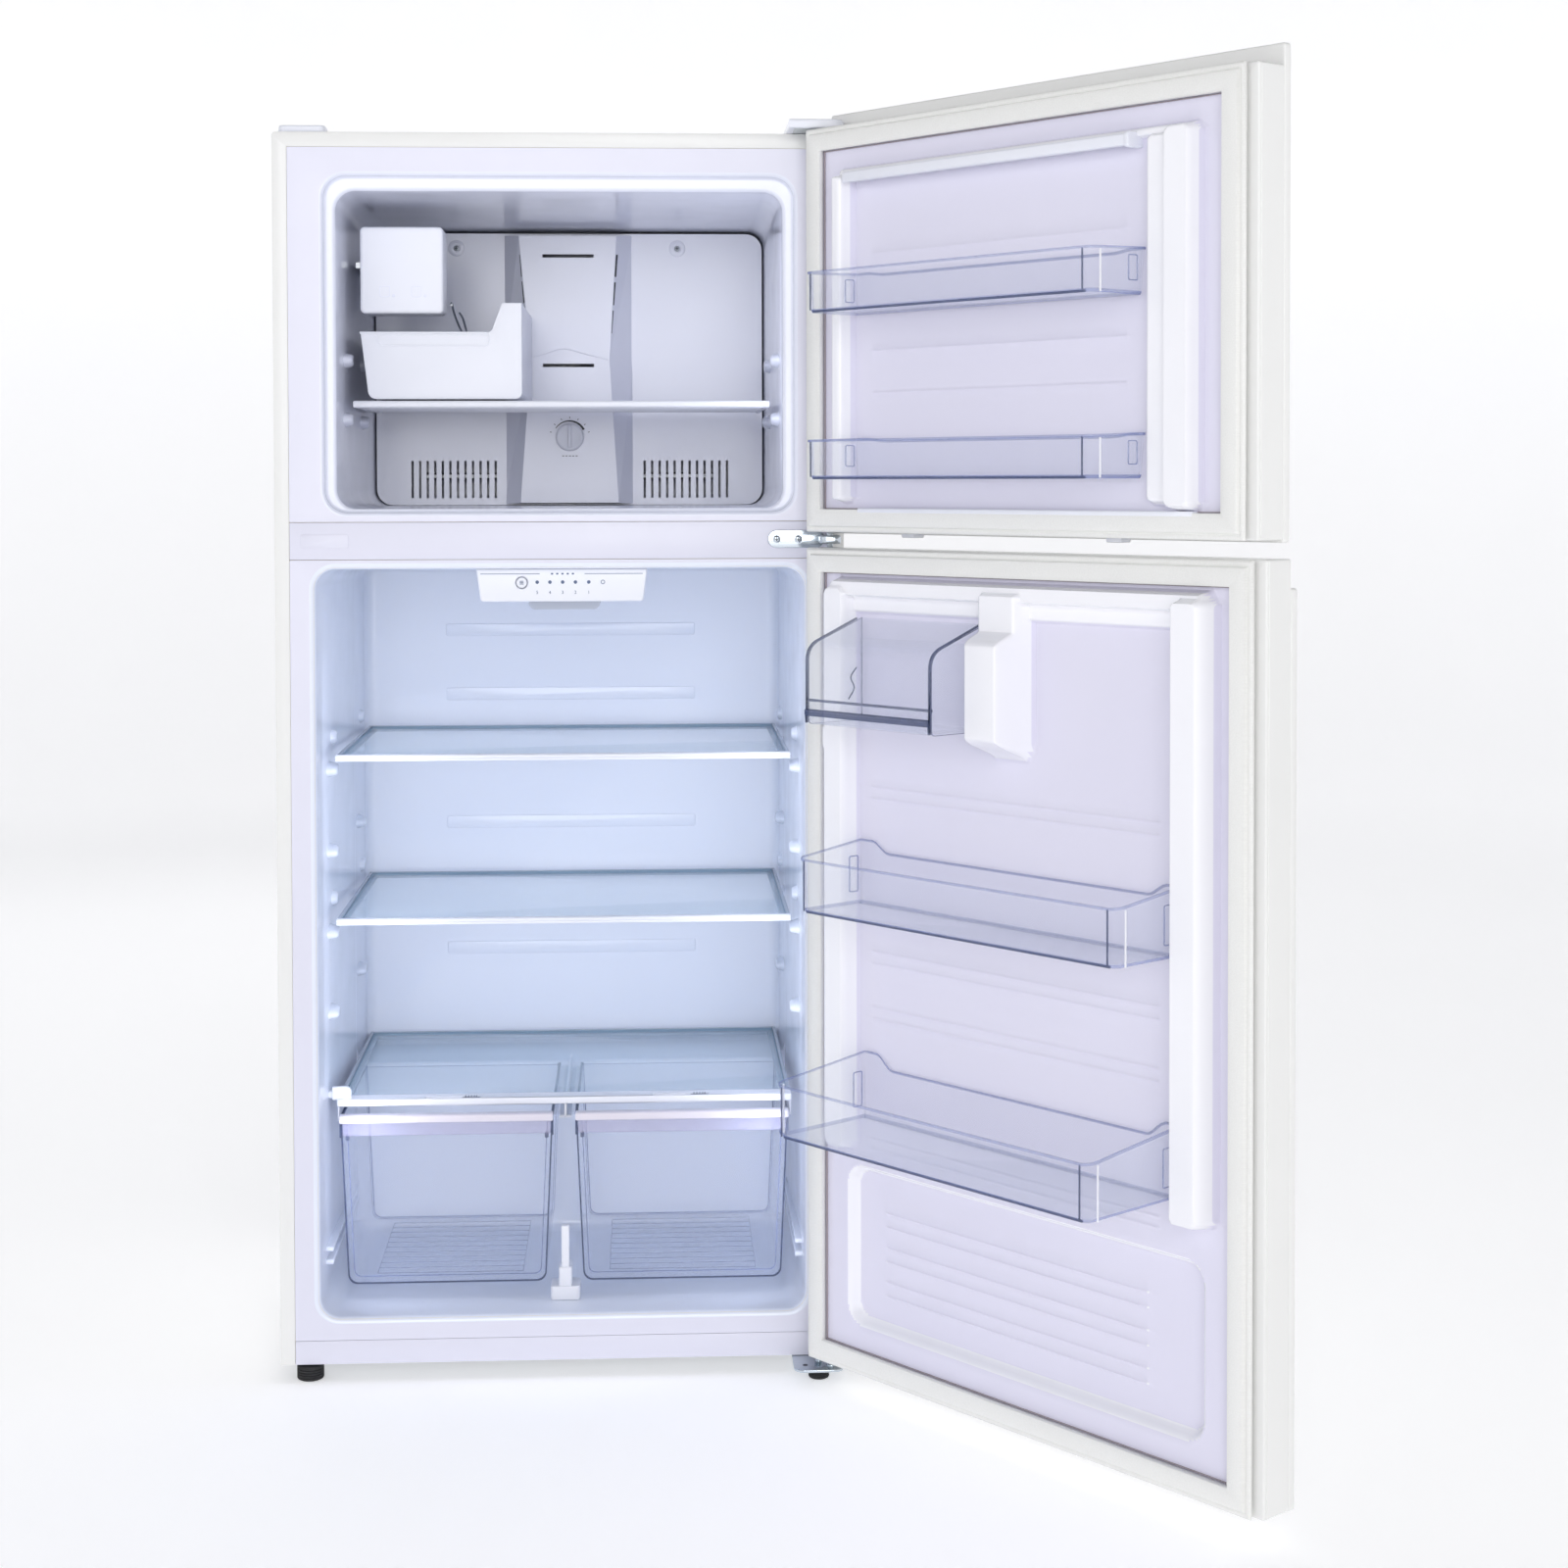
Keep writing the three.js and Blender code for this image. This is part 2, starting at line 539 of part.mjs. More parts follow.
function lampLens() {
  const [x, y, z] = [[-45, 51], [54, 156], [1029, 1052]];
  const dome = prism('y', roundedRect(x, z, 9), y, 4);
  const hollow = roundedRect(grown(x, -PLASTIC), [z[0] + PLASTIC, z[1] + 8], 7);
  return cut(dome, prism('y', hollow, grown(y, -PLASTIC), 4));
}

/** A glass pane in its frame: both stand on the same level and the pane sits in a rebate. */
function shelfFrame(z) {
  const { half, front, back, rebate: edge, rail } = SHELF;
  const low = z - 6;
  const ring = block(even(half), [front + 3, back], [low, z + 2]);
  const nose = prism('x', roundedRect([front, front + 12], [low - 1, z + 3], 4), even(half), 3);
  const window = block(even(half - rail), [front + 18, back - rail], [low - 5, z + 5]);
  const rebate = block(even(half - edge), [front + 10, back - edge], [z - PANE.below, z + 6]);
  return cut(join(ring, nose), window, rebate);
}

/** A pane for the rebate of a frame whose rebate starts at a given place behind the shelf's front. */
const pane = (z, start) => block(even(SHELF.half - SHELF.rebate - GAP),
  [SHELF.front + start + GAP, SHELF.back - SHELF.rebate - GAP], [z - PANE.below + GAP, z + PANE.above]);
const shelfGlass = (z) => pane(z, 10);

const DRAWER = { low: 107, rim: 341, front: 60, back: 384 };
const RAIL_Z = 330;

function crisperCoverFrame() {
  const z = COVER_Z;
  const { half, front, back, rebate: edge, rail } = SHELF;
  const ring = block(even(half), [front + 3, back], [z - 8, z + 2]);
  const nose = block(even(half), [front - 5, front + 10], [z - 12, z + 3]);
  const window = [[-half + rail, -8], [8, half - rail]].map((x) =>
    block(x, [front + 26, back - rail], [z - 30, z + 5]));
  const rebate = block(even(half - edge), [front + 18, back - edge], [z - PANE.below, z + 6]);
  const slots = mirrored((side) => block(
    side < 0 ? [-191, -115] : [121, 197], [front - 8, front + 8], [z - 2, z + 5]));
  const rails = [[-half, -half + 2], [half - 2, half], [-1.5, 1.5]].map((x) =>
    block(x, [front + 6, DRAWER.back], [RAIL_Z - 3, z - 7]));
  const ledges = [[-half, -half + 4.5], [half - 4.5, half], [-8, 8]].map((x) =>
    block(x, [front + 6, DRAWER.back], [RAIL_Z - 3, RAIL_Z]));
  return cut(join(ring, nose, rails, ledges), window, rebate, slots);
}

const crisperGlass = () => pane(COVER_Z, 18);

function humiditySlider(side) {
  const x = side < 0 ? [-141, -117] : [172, 196];
  const y = [SHELF.front - 7, SHELF.front + 7.5];
  return block(x, y, [COVER_Z - 2 + GAP, COVER_Z + 4.5]);
}

/** A crisper drawer: sides lean in towards the floor, flanges hang on the cover's rails. */
function crisperDrawer(side) {
  const { low, rim, front, back } = DRAWER;
  const at = (u) => side < 0 ? [-308 + u, -14 - u] : [12 + u, 308 - u];
  const [topX, floorX] = [at(2.5), at(12)];
  const outline = (x, xFloor, bottom, top) => polygon([x[0], top], [xFloor[0], bottom + 8],
    [xFloor[0] + 4, bottom + 1.5], [xFloor[0] + 9, bottom], [xFloor[1] - 9, bottom],
    [xFloor[1] - 4, bottom + 1.5], [xFloor[1], bottom + 8], [x[1], top]);
  const shell = prism('y', outline(topX, floorX, low, rim), [front + 14, back]);
  const inner = prism('y', outline(grown(topX, -CLEAR), grown(floorX, -CLEAR), low + CLEAR, rim + 30),
    [front + 14 + CLEAR, back - CLEAR]);
  const flangeX = side < 0 ? [-308.4, -2.5] : [2.5, 308.4];
  const flange = block(flangeX, [SHELF.front + 8, back], [RAIL_Z + 1, RAIL_Z + 4]);
  const hollow = block(grown(topX, -CLEAR), [front + 14 + CLEAR, back - CLEAR], [low + 60, rim + 40]);
  const brow = block(grown(topX, 0.5), [front, front + 16], [rim - 12, rim]);
  return join(cut(shell, inner), cut(flange, hollow), brow);
}

function crisperPost() {
  const base = block([-20, 20], [56, 96], [FRIDGE.low + 0.4, 104]);
  const stem = block([-5.5, 5.5], [60, 72], [100, 186]);
  return join(base, stem, block([-9, 9], [58, 94], [100, 130]));
}

// ---------- hinges and feet ----------
const PIN = { radius: 4, hole: 4.5 };

/** The top hinge's outline: round about the pin, so that the door's raised skin can swing past it. */
function hingeOutline(left, back, radius) {
  const shape = new THREE.Shape();
  shape.moveTo(left, back);
  shape.lineTo(left, HINGE.y - radius);
  shape.lineTo(HINGE.x, HINGE.y - radius);
  shape.absarc(HINGE.x, HINGE.y, radius, -Math.PI / 2, Math.PI / 2);
  shape.lineTo(HINGE.x, back);
  shape.closePath();
  return shape;
}

function topHinge() {
  const z = [CASE.top + GAP, CASE.top + GAP + 3];
  const plate = prism('z', hingeOutline(310, 66, 15), z, 5);
  return join(plate, rod('z', [HINGE.x, HINGE.y, CASE.top - 7], PIN.radius, 20, 14));
}

function topHingeCover() {
  const z = [CASE.top + GAP, CASE.top + GAP + 12];
  return cut(prism('z', hingeOutline(302, 76, 19.5), z, 6),
    prism('z', hingeOutline(305, 73, 16.5), [z[0] - 1, z[1] - 2.5], 6));
}

function hingeHoleCap() {
  return prism('z', roundedRect([-370, -308], [4, 44], 9), [CASE.top + GAP, CASE.top + GAP + 9], 4);
}

function centerHinge() {
  const plate = prism('y', roundedRect([276, 352], [1112.6, 1136.4], 11.8), [-3.2, -GAP], 5);
  const arm = prism('z', roundedRect([343, 371], [-52, -0.8], 9), [1119, 1130], 4);
  return join(plate, arm, rod('z', [HINGE.x, HINGE.y, 1124.5], PIN.radius, 42, 14));
}

function bottomHinge() {
  const plate = prism('z', roundedRect([306, 373], [-58, 60], 14), [17.5, CASE.bottom - GAP], 4);
  const hole = rod('z', [RIGHT_FOOT.x, RIGHT_FOOT.y, 20], STUD.hole, 12, 12);
  return cut(join(plate, rod('z', [HINGE.x, HINGE.y, 36], PIN.radius, 32, 14)), hole);
}

function levellingFoot({ x, y, radius, pad, top }) {
  const profile = [[0, 0], [radius - 2, 0], [radius, 2], [radius, pad - 2], [radius - 2, pad],
    [STUD.radius, pad], [STUD.radius, top], [0, top]];
  const foot = new THREE.LatheGeometry(profile.map(([r, z]) => new THREE.Vector2(r, z)), 18);
  foot.rotateX(Math.PI / 2);
  foot.translate(x, y, 0);
  return solid(foot);
}

// ---------- doors ----------
const INNER = DOOR.inner;
const OUTER = DOOR.inner - DOOR.thickness;
const LINER_BACK = 16;              // how deep the door liner's tray reaches into the door

function doorPanel({ low, high, skinLow, skinHigh }, tray, pins) {
  const core = block(even(DOOR.half), [OUTER + DOOR.skin - 0.5, INNER - PLASTIC - GAP], [low, high]);
  const skin = prism('x', polygon([OUTER, skinLow + 3], [OUTER + 3, skinLow], [OUTER + DOOR.skin, skinLow],
    [OUTER + DOOR.skin, skinHigh], [OUTER + 3, skinHigh], [OUTER, skinHigh - 3]), even(DOOR.half));
  const pocket = tub(
    { x: grown(tray.x, PLASTIC + GAP), z: grown(tray.z, PLASTIC + GAP) },
    { x: grown(tray.x, PLASTIC + GAP), z: grown(tray.z, PLASTIC + GAP) },
    [INNER - LINER_BACK - PLASTIC - GAP, INNER + 1], 20);
  const holes = pins.map((z) => rod('z', [HINGE.x, HINGE.y, z], PIN.hole, 42, 14));
  return cut(join(core, skin), pocket, holes);
}

/** A formed ridge standing towards the cabinet: outline spans at its foot, narrower at its crest. */
function ridge(x, z, height, draft = 8) {
  const crest = { x: grown(x, -draft), z: grown(z, -draft) };
  return tub({ x, z }, crest, [INNER - 1, INNER + height], 12);
}

function hollowRidge(x, z, height, draft = 8) {
  const inside = { x: grown(x, -PLASTIC), z: grown(z, -PLASTIC) };
  return tub(inside, { x: grown(inside.x, -draft), z: grown(inside.z, -draft) },
    [INNER - PLASTIC - 1, INNER + height - PLASTIC], 10);
}

function doorLiner(edge, tray, ridges, extra = []) {
  const plate = block(even(edge.half), [INNER - PLASTIC, INNER], edge.z);
  const outside = tub({ x: grown(tray.x, PLASTIC), z: grown(tray.z, PLASTIC) },
    { x: grown(tray.x, PLASTIC), z: grown(tray.z, PLASTIC) }, [INNER - LINER_BACK - PLASTIC, INNER - 0.5], 22);
  const inside = tub({ x: grown(tray.x, -6), z: grown(tray.z, -6) }, { x: tray.x, z: tray.z },
    [INNER - LINER_BACK, INNER + 1], 20);
  const bumps = ridges.map((r) => ridge(...r));
  const hollows = ridges.map((r) => hollowRidge(...r));
  const clearOfHollows = hollows.map((h) => h.subtract(outside.subtract(inside)));
  return join(cut(join(cut(join(plate, outside), inside), bumps), clearOfHollows), extra);
}

function gasket(edgeZ) {
  const half = GASKET.outer - GASKET.bead;
  const ring = (reach, y, band) => {
    const z = [edgeZ[0] - reach, edgeZ[1] + reach];
    const frame = block(even(half + reach), y, z);
    return cut(frame, block(even(half + reach - band), grown(y, 2), grown(z, -band)));
  };
  const face = ring(0, [INNER + 4, INNER + GASKET.height - GAP], GASKET.band);
  const foot = ring(-4, [INNER + GAP, INNER + 5], GASKET.foot);
  const bead = ring(GASKET.bead, [INNER + 2, INNER + 8], GASKET.bead + 1);
  return join(face, foot, bead);
}

/** A door bin whose ends rise towards the door by hump; reach is how far it stands from the door's plane. */
function doorBin(x, z, reach, hump) {
  const y = [INNER + 1.2, INNER + reach];
  const r = 14;
  const outer = prism('z', roundedRect(x, [y[0] - r, y[1]], r), [z[0], z[1] + hump], 4);
  const inner = prism('z', roundedRect(grown(x, -CLEAR), [y[0] - r, y[1] - CLEAR], r - CLEAR),
    [z[0] + CLEAR, z[1] + hump + 9], 4);
  const backOff = block(grown(x, 5), [y[0] - r - 5, y[0]], grown(z, 60));
  const profile = polygon([y[0] - 5, z[1] + hump + 12], [y[0] - 5, z[1] + hump], [y[0] + 24, z[1] + hump],
    [y[0] + 48, z[1]], [y[1] + 5, z[1]], [y[1] + 5, z[1] + hump + 12]);
  const back = block(grown(x, -1), [y[0], y[0] + CLEAR], [z[0] + 0.5, z[1]]);
  return cut(join(cut(outer, inner), back), backOff, prism('x', profile, grown(x, 5)));
}

const DAIRY = { x: [43, 264], low: 890, high: 1030, reach: 103 };

function dairyProfile(inset) {
  const y = [INNER + 1.2 + inset, INNER + DAIRY.reach - inset];
  const shape = new THREE.Shape();
  shape.moveTo(y[0], DAIRY.low + inset);
  shape.lineTo(y[1], DAIRY.low + inset);
  shape.lineTo(y[1], 975);
  shape.quadraticCurveTo(y[1], 992, y[1] - 16, 1000);
  shape.lineTo(y[0], DAIRY.high - inset);
  shape.closePath();
  return shape;
}

function dairyBin() {
  const box = prism('x', dairyProfile(4), DAIRY.x, 4);
  const inside = prism('x', dairyProfile(4 + CLEAR), grown(DAIRY.x, -CLEAR), 4);
  const mouth = prism('x', polygon([INNER + 12, 1040], [INNER + 12, 1000], [60, 1000], [60, 925],
    [DAIRY.reach + 10, 925], [DAIRY.reach + 10, 1040]), grown(DAIRY.x, -CLEAR), 1);
  return cut(box, inside, mouth);
}

function dairyLid() {
  const { x } = DAIRY;
  const curve = cut(prism('x', dairyProfile(0), x, 4), prism('x', dairyProfile(3), grown(x, 2), 4));
  const keep = prism('x', polygon([INNER + 14, 1060], [INNER + 14, 985], [50, 940], [DAIRY.reach + 10, 905],
    [DAIRY.reach + 10, 1060]), grown(x, 3), 1);
  return curve.intersect(keep);
}

// ---------- assembly ----------
place('outer_case', WHITE_PAINT, outerCase());
place('rear_panel', GALVANISED, rearPanel());
place('foam_insulation', FOAM, foam());
place('freezer_liner', LINER, freezerLiner());
place('fridge_liner', LINER, fridgeLiner());
place('mullion_cover', WHITE_PLASTIC, mullionCover());
place('base_rail', WHITE_PLASTIC, baseRail());
place('base_pan', GALVANISED, basePan());
place('machine_cover', GALVANISED, machineCover());
place('compressor', BLACK, compressor());
place('condenser_coil', COPPER, condenserCoil());
place('condenser_fan', BLACK, fan('x', [30, 515, 150], 52, 22, 5));
place('drain_pan', BLACK, drainPan());
place('cord_gland', BLACK, cordGland());
place('water_valve', WHITE_PLASTIC, waterValve());
place('rear_roller_left', BLACK, roller(-1));
place('rear_roller_right', BLACK, roller(1));

place('evaporator_cover', WHITE_PLASTIC, evaporatorCover());
place('evaporator_coil', ALUMINIUM, evaporatorCoil());
place('evaporator_fan', WHITE_PLASTIC, fan('y', [0, 500, 1480], 55, 24, 5));
place('temperature_knob', WHITE_PLASTIC, temperatureKnob());
place('ice_maker_housing', WHITE_PLASTIC, iceMakerHousing());
place('ice_mould', ALUMINIUM, iceMould());
place('feeler_arm', GALVANISED, feelerArm());
place('ice_bin', WHITE_PLASTIC, iceBin());
place('freezer_shelf', WHITE_PLASTIC, freezerShelf());

place('control_panel', WHITE_PLASTIC, controlPanel());
place('set_button', WHITE_PLASTIC, setButton());
place('lamp_lens', CLEAR_PLASTIC, lampLens());
['lower', 'upper'].forEach((level, i) => {
  place(`${level}_shelf_frame`, WHITE_PLASTIC, shelfFrame(SHELF.levels[i]));
  place(`${level}_shelf_glass`, GLASS, shelfGlass(SHELF.levels[i]));
});
place('crisper_cover_frame', WHITE_PLASTIC, crisperCoverFrame());
place('crisper_cover_glass', GLASS, crisperGlass());
['left', 'right'].forEach((name, i) => {
  const side = i ? 1 : -1;
  place(`crisper_drawer_${name}`, CLEAR_PLASTIC, crisperDrawer(side));
  place(`humidity_slider_${name}`, WHITE_PLASTIC, humiditySlider(side));
});
place('crisper_post', WHITE_PLASTIC, crisperPost());

place('top_hinge', CHROME, topHinge());
place('top_hinge_cover', WHITE_PLASTIC, topHingeCover());
place('hinge_hole_cap', WHITE_PLASTIC, hingeHoleCap());
place('center_hinge', CHROME, centerHinge());
place('bottom_hinge', CHROME, bottomHinge());
place('front_foot_left', BLACK, levellingFoot(LEFT_FOOT));
place('front_foot_right', BLACK, levellingFoot(RIGHT_FOOT));

const freezerDoor = door(FREEZER_DOOR.angle);
const freezerTray = { x: [-222, 274], z: [1186, 1590] };
place('freezer_door_panel', WHITE_PAINT,
  doorPanel(FREEZER_DOOR, freezerTray, [FREEZER_DOOR.low, FREEZER_DOOR.high]), freezerDoor);
place('freezer_door_liner', DOOR_LINER, doorLiner({ half: 345, z: [1157, 1641] }, freezerTray, [
  [[-304, -226], [1172, 1600], 25], [[278, 306], [1172, 1600], 24], [[-300, 300], [1593, 1603], 12, 3],
]), freezerDoor);
place('freezer_door_gasket', SEAL, gasket([1143, 1654]), freezerDoor);
place('freezer_bin_upper', CLEAR_PLASTIC, doorBin([-219, 271], [1414, 1466], 95, 0), freezerDoor);
place('freezer_bin_lower', CLEAR_PLASTIC, doorBin([-219, 271], [1204, 1254], 95, 0), freezerDoor);

const fridgeDoor = door(FRIDGE_DOOR.angle);
const fridgeTray = { x: [-296, 297], z: [100, 312] };
place('fridge_door_panel', WHITE_PAINT,
  doorPanel(FRIDGE_DOOR, fridgeTray, [FRIDGE_DOOR.low, FRIDGE_DOOR.high]), fridgeDoor);
place('fridge_door_liner', DOOR_LINER, doorLiner({ half: 345, z: [60, 1095] }, fridgeTray, [
  [[-317, -266], [352, 1072], 38], [[272, 319], [330, 1072], 28], [[-310, 312], [1050, 1076], 22, 6],
  [[-36, 40], [864, 1036], 60, 14], [[-36, 40], [980, 1072], 32, 8],
]), fridgeDoor);
place('fridge_door_gasket', SEAL, gasket([46, 1105]), fridgeDoor);
place('dairy_bin', CLEAR_PLASTIC, dairyBin(), fridgeDoor);
place('dairy_lid', CLEAR_PLASTIC, dairyLid(), fridgeDoor);
place('fridge_bin_middle', CLEAR_PLASTIC, doorBin([-262, 268], [656, 725], 115, 14), fridgeDoor);
place('fridge_bin_lower', CLEAR_PLASTIC, doorBin([-261, 261], [378, 446], 160, 18), fridgeDoor);

// ---------- origin ----------
const bounds = new THREE.Box3().setFromObject(group, true);
cabinet.position.set(-(bounds.min.x + bounds.max.x) / 2, -(bounds.min.y + bounds.max.y) / 2, 0);

export default group;
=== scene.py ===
"""The visual model of a top freezer refrigerator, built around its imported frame.

Every size here is in millimetres, measured from the middle of the cabinet's front edge on the floor:
X to the right as seen from the front, Y to the back, Z up. A Place turns them into the frame's metres.
"""

import json
import logging
import math
from dataclasses import dataclass, replace
from enum import Enum
from typing import Sequence

import bmesh
import bpy
import numpy as np
from mathutils import Matrix, Vector
from mathutils.geometry import tessellate_polygon


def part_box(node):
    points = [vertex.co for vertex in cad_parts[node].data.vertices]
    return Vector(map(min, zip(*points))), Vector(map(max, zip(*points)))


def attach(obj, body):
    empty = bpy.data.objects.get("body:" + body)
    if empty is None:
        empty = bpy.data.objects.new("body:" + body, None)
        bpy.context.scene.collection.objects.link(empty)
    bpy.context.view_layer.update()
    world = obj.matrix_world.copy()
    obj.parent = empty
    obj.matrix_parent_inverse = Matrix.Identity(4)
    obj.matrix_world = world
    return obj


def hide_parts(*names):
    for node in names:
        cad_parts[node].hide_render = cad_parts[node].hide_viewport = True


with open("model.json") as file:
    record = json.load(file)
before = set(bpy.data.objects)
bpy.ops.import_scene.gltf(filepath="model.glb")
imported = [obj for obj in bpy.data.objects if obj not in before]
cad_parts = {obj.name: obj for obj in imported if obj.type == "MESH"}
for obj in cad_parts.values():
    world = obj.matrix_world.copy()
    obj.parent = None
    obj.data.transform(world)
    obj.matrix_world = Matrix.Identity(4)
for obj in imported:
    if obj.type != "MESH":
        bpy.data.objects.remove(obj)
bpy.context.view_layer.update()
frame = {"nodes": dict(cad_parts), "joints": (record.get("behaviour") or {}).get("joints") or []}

log = logging.getLogger("refrigerator")

Span = tuple[float, float]
Point = tuple[float, float, float]

MM = 0.001                      # metres in a millimetre
PLASTIC = 2.0                   # wall of a formed or moulded liner
CLEAR_WALL = 2.4                # wall of the clear bins and drawers
RIB_HEIGHT = 5.0                # a door relief up to this height adds to the surface under it


# ---------------------------------------------------------------- colour and nodes
def linear(code: str) -> tuple[float, float, float, float]:
    """Turns an sRGB hex colour to linear.

    Args:
        code: the colour as "#RRGGBB".

    Returns:
        Red, green, blue and an alpha of 1.
    """
    parts = [int(code[i:i + 2], 16) / 255 for i in (1, 3, 5)]
    channels = [c / 12.92 if c <= 0.04045 else ((c + 0.055) / 1.055) ** 2.4 for c in parts]
    return (*channels, 1.0)


def add_node(tree: bpy.types.NodeTree, kind: str, inputs: dict | None = None, **settings) -> bpy.types.Node:
    """Adds a node with its settings and links.

    Args:
        tree: the node tree.
        kind: the node's Blender type name.
        inputs: for each input, a value or the output socket that feeds it.
        settings: the node's own properties.

    Returns:
        The new node.
    """
    made = tree.nodes.new(kind)
    for key, value in settings.items():
        setattr(made, key, value)
    for key, value in (inputs or {}).items():
        if isinstance(value, bpy.types.NodeSocket):
            tree.links.new(value, made.inputs[key])
        else:
            made.inputs[key].default_value = value
    return made


class Grain(Enum):
    """How a surface was made, which sets the pattern of its fine relief."""

    ORANGE_PEEL = "powder paint that flowed and set in the oven"
    FORMED = "sheet drawn over a mould while hot, which leaves long shallow waves"
    SPARKED = "moulded in a spark-eroded tool, which leaves a fine matt grain"
    POLISHED = "moulded or floated with a mirror finish"
    BRUSHED = "drawn or rolled, with fine lines along it"
    SPANGLED = "dipped in molten zinc, which sets in leafy crystals"


@dataclass(frozen=True)
class Finish:
    """One real material with the way its surface was made.

    The colour wanders a little towards shade over wander_mm. Relief is the height of the grain.
    Alpha is how much of the light a clear wall stops face on, and rim_alpha when seen along it.
    """

    name: str
    slot: str
    colour: str
    shade: str
    grain: Grain
    grain_mm: float
    relief_mm: float
    roughness: Span = (0.3, 0.4)
    wander_mm: float = 180.0
    metallic: float = 0.0
    ior: float = 1.5
    coat: float = 0.0
    alpha: float = 1.0
    rim_alpha: float = 1.0
    glow: float = 0.0

    def material(self) -> bpy.types.Material:
        """The finish as a node material, made once and then shared."""
        found = bpy.data.materials.get(self.name)
        return found if found else self._made()

    def _made(self) -> bpy.types.Material:
        """Builds the node tree of the finish."""
        made = bpy.data.materials.new(self.name)
        made.use_nodes = True
        tree = made.node_tree
        tree.nodes.clear()
        place = add_node(tree, "ShaderNodeTexCoord").outputs["Object"]
        wander = add_node(tree, "ShaderNodeTexNoise",
                          {"Vector": place, "Scale": 1 / (self.wander_mm * MM), "Detail": 3.0})
        height, tint = self._pattern(tree, place, wander.outputs["Fac"])
        colour = self._blend(tree, tint)
        rough = add_node(tree, "ShaderNodeMapRange", {
            "Value": height, "From Min": 0.25, "From Max": 0.75,
            "To Min": self.roughness[0], "To Max": self.roughness[1]})
        bump = add_node(tree, "ShaderNodeBump",
                        {"Height": height, "Strength": 1.0, "Distance": self.relief_mm * MM})
        shader = add_node(tree, "ShaderNodeBsdfPrincipled", {
            "Base Color": colour, "Roughness": rough.outputs["Result"], "Normal": bump.outputs["Normal"],
            "Metallic": self.metallic, "Coat Weight": self.coat, "Coat Roughness": 0.12})
        if not self.metallic:
            shader.inputs["IOR"].default_value = self.ior
        if self.glow:
            shader.inputs["Emission Color"].default_value = linear(self.colour)
            shader.inputs["Emission Strength"].default_value = self.glow
        if self.alpha < 1:
            facing = add_node(tree, "ShaderNodeLayerWeight", {"Blend": 0.5})
            cover = add_node(tree, "ShaderNodeMapRange", {
                "Value": facing.outputs["Facing"], "From Min": 0.3, "From Max": 1.0,
                "To Min": self.alpha, "To Max": self.rim_alpha})
            tree.links.new(cover.outputs["Result"], shader.inputs["Alpha"])
        add_node(tree, "ShaderNodeOutputMaterial", {"Surface": shader.outputs["BSDF"]})
        return made

    def _blend(self, tree: bpy.types.NodeTree, tint: bpy.types.NodeSocket) -> bpy.types.NodeSocket:
        """Mixes the colour and its shade by the tint; returns the colour socket."""
        ramp = add_node(tree, "ShaderNodeValToRGB", {"Fac": tint})
        low, high = ramp.color_ramp.elements
        low.position, high.position = 0.3, 0.7
        low.color, high.color = linear(self.colour), linear(self.shade)
        return ramp.outputs["Color"]

    def _pattern(self, tree: bpy.types.NodeTree, place: bpy.types.NodeSocket,
                 wander: bpy.types.NodeSocket) -> tuple[bpy.types.NodeSocket, bpy.types.NodeSocket]:
        """The relief and the tint of the grain.

        Args:
            tree: the material's node tree.
            place: the point on the surface, in metres.
            wander: a slow noise over the surface.

        Returns:
            The height socket and the tint socket, both from 0 to 1.
        """
        scale = 1 / (self.grain_mm * MM)
        if self.grain is Grain.SPANGLED:
            cells = add_node(tree, "ShaderNodeTexVoronoi", {"Vector": place, "Scale": scale})
            grey = add_node(tree, "ShaderNodeRGBToBW", {"Color": cells.outputs["Color"]})
            return grey.outputs["Val"], grey.outputs["Val"]
        if self.grain is Grain.BRUSHED:
            along = add_node(tree, "ShaderNodeMapping", {"Vector": place, "Scale": (0.02, 1.0, 1.0)})
            lines = add_node(tree, "ShaderNodeTexNoise",
                             {"Vector": along.outputs["Vector"], "Scale": scale, "Detail": 2.0})
            return lines.outputs["Fac"], lines.outputs["Fac"]
        detail = {Grain.ORANGE_PEEL: 1.0, Grain.FORMED: 2.0, Grain.SPARKED: 6.0, Grain.POLISHED: 0.0}
        noise = add_node(tree, "ShaderNodeTexNoise",
                         {"Vector": place, "Scale": scale, "Detail": detail[self.grain]})
        return noise.outputs["Fac"], wander


# ---------------------------------------------------------------- finishes
# polyester powder enamel on steel sheet: even, satin, with a faint orange peel
ENAMEL = Finish("white_powder_enamel", "white_enamel", "#EDEDEB", "#EBEBE9", Grain.ORANGE_PEEL,
                3.5, 0.015, (0.29, 0.36), wander_mm=400, coat=0.15)
# high-impact polystyrene drawn into the cabinet: glossy, cool white, with long waves
CABINET_LINER = Finish("formed_polystyrene_liner", "cabinet_liner", "#ECF1FD", "#EAEFFC", Grain.FORMED,
                       90.0, 0.08, (0.13, 0.2), wander_mm=400, ior=1.59)
# the same sheet around the freezer, a little greyer
FREEZER_LINER = Finish("formed_polystyrene_freezer", "cabinet_liner", "#ECEFFC", "#EAEDFB", Grain.FORMED,
                       90.0, 0.08, (0.12, 0.19), wander_mm=400, ior=1.59)
# the rim of the cabinet front: the same sheet where the clamps held it, duller and lavender white
CLAMPED_RIM = Finish("clamped_polystyrene_rim", "cabinet_liner", "#E2E2F0", "#E0E0EF", Grain.FORMED,
                     90.0, 0.04, (0.29, 0.36), wander_mm=400, ior=1.59)
# the same sheet in a thinner gauge, drawn over the door moulds: satin and lavender white
DOOR_LINER = Finish("formed_polystyrene_door", "door_liner", "#E4E2F2", "#E2E0F1", Grain.FORMED,
                    90.0, 0.05, (0.29, 0.36), wander_mm=400, ior=1.59)
